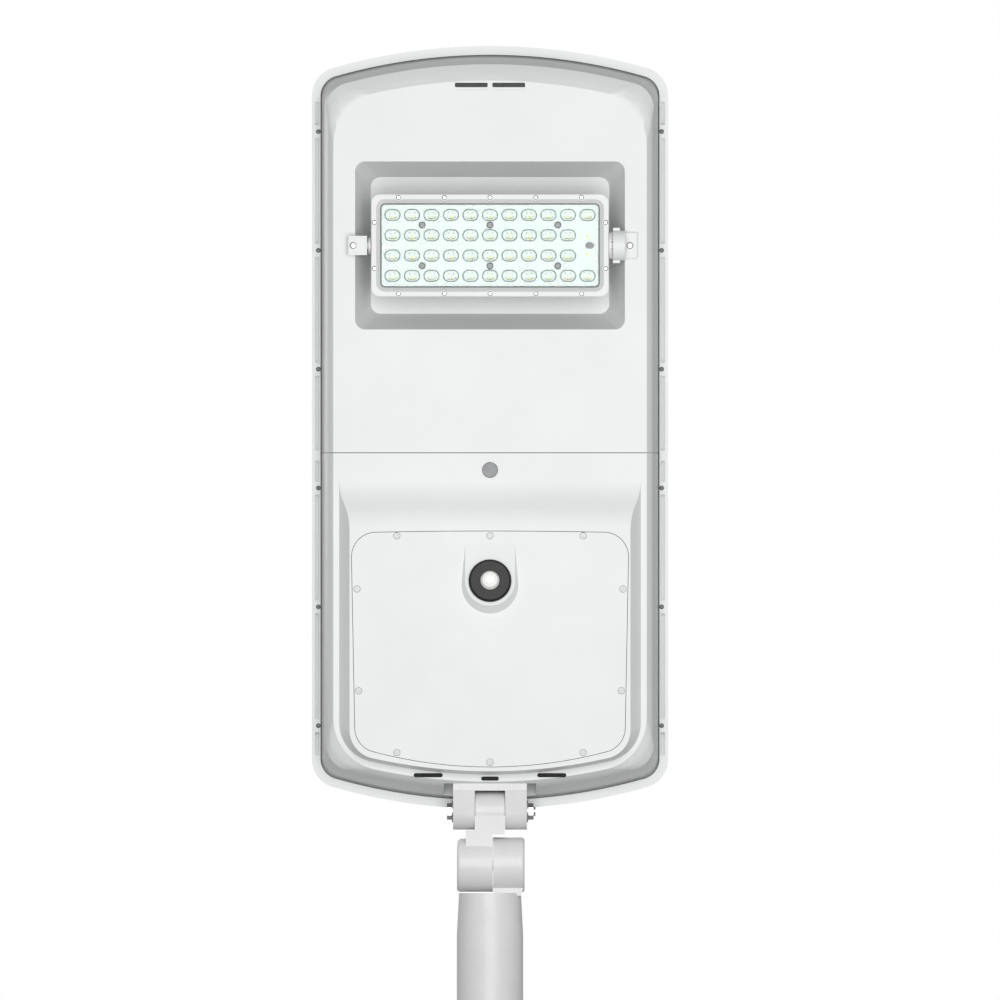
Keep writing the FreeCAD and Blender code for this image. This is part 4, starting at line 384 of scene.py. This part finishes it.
# %% [markdown]
# ## Give the frame its finishes
# A CAD piece arrives with one flat material for its slot. Each slot is filled with the finish of the
# same name, so a CAD piece that isn't remodelled below is finished as well.

# %% Give the frame its finishes
for node in frame["nodes"].values():
    for seat in node.material_slots:
        slot = seat.material.name.split(".")[0]
        seat.link = "OBJECT"
        seat.material = finishes[slot]
print("dressed:", len(frame["nodes"]))

# %% [markdown]
# ## Soft edges
# No mould or die makes a knife edge. A copy of a CAD piece has its loose triangles joined and its
# flat faces made whole, then every edge that turns sharply gets a small round. The round catches
# a thin line of light, which is what makes a moulded piece look moulded.


# %% Tools for pieces
def welded(node):
    """A joined copy of a CAD piece, with its flat faces whole."""
    form = bmesh.new()
    form.from_mesh(frame["nodes"][node].data)
    bmesh.ops.remove_doubles(form, verts=form.verts, dist=0.004 * MM)
    bmesh.ops.dissolve_degenerate(form, edges=form.edges, dist=0.002 * MM)
    bmesh.ops.dissolve_limit(form, angle_limit=math.radians(0.4), verts=form.verts, edges=form.edges)
    return form


def finish(name, form, body, slot, replaces=(), materials=None, corner=35):
    """Makes a piece of a form: its shading, its finish, its body and the CAD pieces it stands for."""
    mesh = bpy.data.meshes.new(name)
    form.to_mesh(mesh)
    form.free()
    mesh.shade_smooth()
    mesh.set_sharp_from_angle(angle=math.radians(corner))
    for material in materials or [finishes[slot]]:
        mesh.materials.append(material)
    made = bpy.data.objects.new(name, mesh)
    bpy.context.scene.collection.objects.link(made)
    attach(made, body)
    if replaces:
        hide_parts(*replaces)
    return made


BOLD_ROUND = 3.5


def soften(node, width, slot, corner=30, segments=2, bold=None):
    """A CAD piece with every sharp edge rounded by `width` mm, after the big rounds that `bold` picks."""
    form = welded(node)
    if bold:
        rims = [edge for edge in form.edges if len(edge.link_faces) == 2 and bold(edge)]
        bmesh.ops.bevel(form, geom=rims, offset=BOLD_ROUND * MM, offset_type="OFFSET", segments=5,
                        profile=0.5, affect="EDGES", clamp_overlap=False, material=-1)
    sharp = [edge for edge in form.edges
             if len(edge.link_faces) == 2 and edge.calc_face_angle(0) > math.radians(corner)]
    bmesh.ops.bevel(form, geom=sharp, offset=width * MM, offset_type="OFFSET", segments=segments,
                    profile=0.5, affect="EDGES", clamp_overlap=True, material=-1)
    made = finish(f"{node}_finished", form, node_body[node], slot, [node])
    even = made.modifiers.new("even_shading", "WEIGHTED_NORMAL")
    even.keep_sharp = True
    print(node, "edges rounded:", len(sharp), "faces:", len(made.data.polygons))
    return made


# %% Shells, rim and cover
for node, width in (("upper_shell", 0.8), ("lower_shell", 0.8), ("battery_cover", 0.45), ("rim_bezel", 0.7),
                    ("module_frame", 0.45), ("left_clamp", 0.5), ("right_clamp", 0.5)):
    soften(node, width, "white_abs")
soften("panel_frame", 0.8, "frame_coat")

# %% [markdown]
# ## Castings
# The bracket, the link and the sleeve are die castings. A die needs bigger rounds than a mould for
# plastic, so that the metal flows and lets go. The round knuckle's two outer rims get the biggest.

# %% Castings
KNUCKLE_STATION = -190
KNUCKLE_RIM = 20


def knuckle_rim(end):
    """Picks the outer edge of the round knuckle, at x = `end` mm."""
    def picked(edge):
        return all(abs(vertex.co.x / MM - end) < 0.05 and
                   math.hypot(vertex.co.y / MM - KNUCKLE_STATION, vertex.co.z / MM) > KNUCKLE_RIM
                   for vertex in edge.verts)
    return picked


left_end = min(vertex.co.x for vertex in frame["nodes"]["link_casting"].data.vertices) / MM
right_end = max(vertex.co.x for vertex in frame["nodes"]["arm_sleeve"].data.vertices
                if vertex.co.y / MM < KNUCKLE_STATION) / MM
soften("pole_bracket", 1.2, "arm_coat")
soften("link_casting", 1.2, "arm_coat", bold=knuckle_rim(left_end))
soften("arm_sleeve", 1.2, "arm_coat", bold=knuckle_rim(right_end))

# %% Small turned and moulded pieces
for node, width in (("hinge_bolt", 0.5), ("hinge_nut", 0.5), ("hinge_washers", 0.2),
                    ("knuckle_bolt", 0.5), ("knuckle_nut", 0.5), ("knuckle_washer", 0.2),
                    ("pole_set_screws", 0.5), ("set_screw_nuts", 0.4)):
    soften(node, width, "bright_steel")
soften("power_button", 0.8, "button_rubber", segments=3)
soften("drain_plugs", 0.4, "seal_rubber")
soften("vent_louvres", 0.2, "vent_grey")
soften("sensor_ring", 0.6, "sensor_black", segments=3)
for node in ("left_trunnion", "right_trunnion"):
    soften(node, 0.3, "arm_coat", segments=1)
soften("module_heatsink", 0.3, "sink_aluminium", segments=1)
soften("battery_cells", 0.8, "cell_wrap", segments=2)

# %% [markdown]
# ## Cross-recess screws
# The lamp is held together by forty-odd pan-head screws. One is made well and copied: a turned
# profile, spun round its axis, whose head is then cut by eight planes, so that the faces of the
# cross can be pushed in as a driver recess. Where each screw goes is read from the CAD piece.


# %% One screw
def islands(form):
    """Lowest and highest corner of each separate solid of a form."""
    left, found = set(form.verts), []
    while left:
        group, edge_of = set(), [left.pop()]
        while edge_of:
            vertex = edge_of.pop()
            group.add(vertex)
            near = {edge.other_vert(vertex) for edge in vertex.link_edges} & left
            left -= near
            edge_of += near
        found.append((Vector(min(vertex.co[axis] for vertex in group) for axis in range(3)),
                      Vector(max(vertex.co[axis] for vertex in group) for axis in range(3))))
    return found


def places(node):
    form = welded(node)
    found = islands(form)
    form.free()
    return found


def lathe(form, profile, steps):
    """Spins (radius, height) points, in millimetres, round the Z axis into a closed skin."""
    points = [form.verts.new((radius * MM, 0, height * MM)) for radius, height in profile]
    edges = [form.edges.new(pair) for pair in zip(points, points[1:])]
    bmesh.ops.spin(form, geom=points + edges, axis=(0, 0, 1), cent=(0, 0, 0), angle=math.tau, steps=steps,
                   use_merge=True)
    bmesh.ops.remove_doubles(form, verts=form.verts, dist=0.001 * MM)
    bmesh.ops.recalc_face_normals(form, faces=form.faces)


def pan_screw(head, height, shank, length):
    """Screw with the top of its head at z = 0 and its point upwards, in millimetres."""
    form = bmesh.new()
    lathe(form, [(0, 0), (head * 0.62, height * 0.05), (head * 0.88, height * 0.22), (head, height * 0.55),
                 (head, height), (shank, height), (shank, length - shank), (0, length)], 20)
    arm, reach = head * 0.13, head * 0.58
    for axis in (Vector((1, 0, 0)), Vector((0, 1, 0))):
        for distance in (-reach, -arm, arm, reach):
            top = [face for face in form.faces if face.calc_center_median().z < height * 0.4 * MM]
            parts = {*top, *(edge for face in top for edge in face.edges),
                     *(vertex for face in top for vertex in face.verts)}
            bmesh.ops.bisect_plane(form, geom=list(parts), dist=1e-7, plane_co=axis * distance * MM,
                                   plane_no=axis)
    cross = []
    for face in form.faces:
        middle = face.calc_center_median() / MM
        inside = sorted((abs(middle.x), abs(middle.y)))
        if middle.z < height * 0.4 and face.normal.z < -0.5 and inside[0] < arm and inside[1] < reach:
            cross.append(face)
    bmesh.ops.inset_region(form, faces=cross, thickness=0.06 * head * MM, depth=-height * 0.5 * MM,
                           use_even_offset=True, use_boundary=True)
    return form


def feet_of(solids):
    """Middle of the lowest level of each solid."""
    return [Vector(((low.x + high.x) / 2, (low.y + high.y) / 2, low.z)) for low, high in solids]


def scatter(pattern, spots, turn=0.7):
    """One form that holds a copy of a pattern, moved to each spot and turned a bit more each time."""
    mesh = bpy.data.meshes.new("pattern")
    pattern.to_mesh(mesh)
    pattern.free()
    form = bmesh.new()
    for count, spot in enumerate(spots):
        start = len(form.verts)
        form.from_mesh(mesh)
        form.verts.ensure_lookup_table()
        bmesh.ops.transform(form, matrix=Matrix.Translation(spot) @ Matrix.Rotation(count * turn, 4, "Z"),
                            verts=form.verts[start:])
    bpy.data.meshes.remove(mesh)
    return form


# %% All the screws
SMALL_SHANK, LARGE_SHANK = 1.2, 1.6
for node, height in (("rim_screws", 1.4), ("cover_screws", 2.2), ("module_screws", 1.4),
                     ("board_screws", 1.4), ("clamp_screws", 2.2)):
    spots = places(node)
    low, high = spots[0]
    shank = SMALL_SHANK if height < 2 else LARGE_SHANK
    screw = pan_screw((high.x - low.x) / 2 / MM, height, shank, (high.z - low.z) / MM)
    form = scatter(screw, feet_of(spots))
    finish(f"{node}_cross_recess", form, node_body[node], "bright_steel", [node],
           [heads.get(node, finishes["bright_steel"])])
    print(node, len(spots), "screws of head", round((high.x - low.x) / MM, 2), "mm")

# %% [markdown]
# ## LED packages
# Each LED is a 3.6 mm ceramic package with a square of yellow phosphor under a clear skin. The white
# frame round the phosphor is what makes the packages look like little tiles through the lenses.

# %% LED packages
PACKAGE_SIDE = 3.6 * MM
PACKAGE_CORNER = 0.25 * MM
PACKAGE_FRAME = 0.22 * MM
PHOSPHOR_DEPTH = 0.12 * MM
tile = bmesh.new()
package = places("led_chips")
low, high = package[0]
size = Vector((PACKAGE_SIDE, PACKAGE_SIDE, high.z - low.z))
bmesh.ops.create_cube(tile, size=1)
bmesh.ops.scale(tile, vec=size, verts=tile.verts)
bmesh.ops.translate(tile, vec=(0, 0, size.z / 2), verts=tile.verts)
uprights = [edge for edge in tile.edges if abs((edge.verts[0].co - edge.verts[1].co).z) > size.z / 2]
bmesh.ops.bevel(tile, geom=uprights, offset=PACKAGE_CORNER, segments=1, profile=0.5, affect="EDGES",
                material=-1)
window = [face for face in tile.faces if face.normal.z < -0.9]
bmesh.ops.inset_region(tile, faces=window, thickness=PACKAGE_FRAME, depth=-PHOSPHOR_DEPTH,
                       use_even_offset=True)
for face in window:
    face.material_index = 1
ceramic = moulded("white_led_ceramic", "#F4F4F1", "#E8E8E4", 0.35, 0.4, 0.01, 2)
form = scatter(tile, feet_of(package), turn=0)
finish("led_packages", form, "led_module", "phosphor", ["led_chips"], [ceramic, finishes["phosphor"]], 20)
print("LED packages:", len(package))

# %% [markdown]
# ## Lenses
# Each LED sits behind an oval dome that throws its light to both sides of the road. The foot of the
# dome, the crease between its two lobes and the scoop under the LED look grey from below, because
# light that meets the moulding there is bent away. That grey is painted shade, drawn as thin grey beads on
# the dome.


# %% Lenses
LENS_HALF = Vector((8.4, 6.2)) * MM
LED_OFFSET = 2.5 * MM
BEAD = 0.32 * MM
CREASE_SIDE = 2.7 * MM
LED_STATION = -871.5 * MM


def bead(form, path, wire, closed):
    """A thin tube of square section along points that lie at one height."""
    rings = []
    for count, point in enumerate(path):
        before = path[count - 1] if closed or count else point
        after = path[(count + 1) % len(path)] if closed or count + 1 < len(path) else point
        across = (after - before).cross(Vector((0, 0, 1))).normalized() * wire
        up = Vector((0, 0, wire))
        rings.append([form.verts.new(point + step) for step in (across, up, -across, -up)])
    pairs = list(zip(rings, rings[1:] + rings[:1])) if closed else list(zip(rings, rings[1:]))
    for one, two in pairs:
        for side in range(4):
            form.faces.new((one[side], one[(side + 1) % 4], two[(side + 1) % 4], two[side]))
    if not closed:
        form.faces.new(rings[0])
        form.faces.new(reversed(rings[-1]))


def oval(middle, share, first, last, steps):
    """Points round a slot shape, `share` of a lens in size, between two angles."""
    half = LENS_HALF * share
    points = []
    for count in range(steps):
        angle = first + (last - first) * count / steps
        shift = (half.x - half.y) * (1 if math.cos(angle) > 0 else -1)
        points.append(middle + Vector((shift + half.y * math.cos(angle), half.y * math.sin(angle), 0)))
    return points


soften("lens_plate", 0.8, "lens_pc", segments=3)
lens_face = places("locating_pins")[0][0].z + 1 * MM
lens_tip = min(corner[0].z for corner in places("lens_plate"))
lamps = [(low + high) / 2 for low, high in package
         if low.x < 100 * MM or abs(low.y - LED_STATION) > 20 * MM]
feet, tops = bmesh.new(), bmesh.new()
for lamp in lamps:
    middle = Vector((lamp.x, lamp.y - LED_OFFSET, lens_face))
    bead(feet, oval(middle, 1.0, 0, math.tau, 36), BEAD * 1.3, True)
    top = Vector((middle.x, middle.y, lens_tip))
    bead(tops, oval(top, 0.62, math.radians(25), math.radians(155), 12), BEAD, False)
    for side in (-1, 1):
        bead(tops, [top + Vector((side * CREASE_SIDE, y * MM, 0)) for y in (-3.6, -1.8)], BEAD, False)
for form in (feet, tops):
    bmesh.ops.recalc_face_normals(form, faces=form.faces)
# The grey of these beads is painted shade: it stands for the light that the lens bends away at its foot,
# crease and scoop.
lens_painted_shade = moulded("polycarbonate_painted_shade", "#98A29F", "#8A9491", 0.35, 0.6, 0.01, 8)
finish("lens_foot_painted_shade", feet, "led_module", "lens_pc", (), [lens_painted_shade])
finish("lens_crease_painted_shade", tops, "led_module", "lens_pc", (), [lens_painted_shade])
print("lenses:", len(lamps), "tips", round((lens_face - lens_tip) / MM, 2), "mm proud")

# %% Seal round the optics
WINDOW_HALF = Vector((120.3, 45.9)) * MM
WINDOW_CORNER = 5 * MM
SEAL_BEAD = 1.0 * MM
rim_path = []
for quarter, (x, y) in enumerate(((1, 1), (-1, 1), (-1, -1), (1, -1))):
    centre = Vector((x * (WINDOW_HALF.x - WINDOW_CORNER),
                     LED_STATION + y * (WINDOW_HALF.y - WINDOW_CORNER), lens_face))
    for step in range(7):
        angle = math.radians(90 * quarter + 15 * step)
        rim_path.append(centre + Vector((math.cos(angle), math.sin(angle), 0)) * WINDOW_CORNER)
ring = bmesh.new()
bead(ring, rim_path, SEAL_BEAD, True)
bmesh.ops.recalc_face_normals(ring, faces=ring.faces)
silicone = moulded("grey_silicone_bead", "#7F8284", "#737678", 0.6, 0.6, 0.02, 8)
finish("optics_seal", ring, "led_module", "seal_rubber", (), [silicone])
print("seal round the optics:", len(rim_path), "points")

# %% Lead grommet
LEAD_SIDE = 109.7 * MM
grommet = bmesh.new()
lathe(grommet, [(0, -2.2), (3.2, -2.2), (3.7, -1.8), (3.7, 0.6), (0, 0.6)], 28)
bmesh.ops.scale(grommet, vec=(1.25, 0.95, 1), verts=grommet.verts)
bmesh.ops.translate(grommet, vec=(LEAD_SIDE, LED_STATION, lens_face), verts=grommet.verts)
finish("lead_grommet", grommet, "led_module", "seal_rubber", (), [finishes["button_rubber"]])
print("grommet at", round(LEAD_SIDE / MM, 1), round(LED_STATION / MM, 1))

# %% [markdown]
# ## Button spring
# The button rests on a coil of steel wire, which on the lamp shortens as the button goes in. Here the coil
# is built at one length and nothing shortens it.

# %% Button spring
TURNS = 4.5
STEPS_A_TURN = 20
WIRE_RADIUS = 0.45 * MM
WIRE_SIDES = 8
low, high = places("button_spring")[0]
middle = (low + high) / 2
radius = (high.x - low.x) / 2 - 0.5 * MM
coil = bmesh.new()
steps = int(TURNS * STEPS_A_TURN)
rings = []
for count in range(steps + 1):
    angle = math.tau * count / STEPS_A_TURN
    height = low.z + WIRE_RADIUS + (high.z - low.z - 2 * WIRE_RADIUS) * count / steps
    outwards = Vector((math.cos(angle), math.sin(angle), 0))
    centre = Vector((middle.x, middle.y, height)) + outwards * radius
    ring = []
    for turn in (math.tau * part / WIRE_SIDES for part in range(WIRE_SIDES)):
        away = outwards * math.cos(turn) + Vector((0, 0, math.sin(turn)))
        ring.append(coil.verts.new(centre + away * WIRE_RADIUS))
    rings.append(ring)
for one, two in zip(rings, rings[1:]):
    for side in range(WIRE_SIDES):
        after = (side + 1) % WIRE_SIDES
        coil.faces.new((one[side], one[after], two[after], two[side]))
coil.faces.new(rings[0])
coil.faces.new(reversed(rings[-1]))
bmesh.ops.recalc_face_normals(coil, faces=coil.faces)
spring = finish("button_coil", coil, "lamp", "bright_steel", ["button_spring"])
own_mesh(spring)
print("coil of", TURNS, "turns,", round((high.z - low.z) / MM, 2), "mm long")


# %% [markdown]
# ## Seams
# The butt joint between the two shells and the gap round the battery cover show as thin dark lines,
# where the narrow gaps fall into shade. That shade is painted: a grey strip fills the joint between the
# shells, and a black bead stands in the gap round the cover.

# %% Seams
SEAM = -643.8 * MM
SEAM_SHADE_WIDTH = 0.75 * MM
GAP_SHADE_RADIUS = 0.8 * MM
GAP_SHADE_AWAY, GAP_SHADE_DEPTH = 0.3 * MM, 0.6 * MM
strip = welded("lower_shell")
cut = bmesh.ops.bisect_plane(strip, geom=strip.verts[:] + strip.edges[:] + strip.faces[:], dist=1e-7,
                             plane_co=(0, SEAM + SEAM_SHADE_WIDTH, 0), plane_no=(0, 1, 0), clear_outer=True)
rims = [item for item in cut["geom_cut"] if isinstance(item, bmesh.types.BMEdge)]
bmesh.ops.triangle_fill(strip, use_beauty=True, edges=rims)
bmesh.ops.recalc_face_normals(strip, faces=strip.faces)
# The strip's grey is painted shade, for the dark line at the joint between the shells.
seam_shade = moulded("grey_seam_painted_shade", "#A2A3A4", "#949596", 0.7, 0.6, 0.03, 6)
finish("shell_seam_painted_shade", strip, "lamp", "seal_rubber", (), [seam_shade])


# The path of the painted shade in the cover's gap is the longest loop round the cover's flat face.
cover = welded("battery_cover")
top = min(vertex.co.z for vertex in cover.verts if abs(vertex.co.x) > 0.1)
flat = {face for face in cover.faces
        if face.normal.z < -0.99 and abs(face.calc_center_median().z - top) < 0.05 * MM}
edges = {edge for edge in cover.edges if sum(face in flat for face in edge.link_faces) == 1}
loops = []
while edges:
    first = edges.pop()
    loop = list(first.verts)
    while True:
        step = next((edge for edge in loop[-1].link_edges if edge in edges), None)
        if step is None:
            break
        edges.discard(step)
        loop.append(step.other_vert(loop[-1]))
    loops.append([vertex.co.copy() for vertex in loop[:-1]])
longest = max(loops, key=lambda loop: max(point.x for point in loop) - min(point.x for point in loop))
cover.free()
centre = sum(longest, Vector()) / len(longest)
# The black bead below is painted shade in the gap round the battery cover.
gap_shade = bmesh.new()
path = []
for count, point in enumerate(longest):
    along = longest[(count + 1) % len(longest)] - longest[count - 1]
    away = along.cross(Vector((0, 0, 1))).normalized()
    if away.dot(point - centre) < 0:
        away = -away
    path.append(point + away * GAP_SHADE_AWAY + Vector((0, 0, GAP_SHADE_DEPTH)))
bead(gap_shade, path, GAP_SHADE_RADIUS, True)
bmesh.ops.recalc_face_normals(gap_shade, faces=gap_shade.faces)
finish("cover_gap_painted_shade", gap_shade, "lamp", "seal_rubber")
print("seams:", len(rims), "edges at the shells,", len(path), "points round the cover")
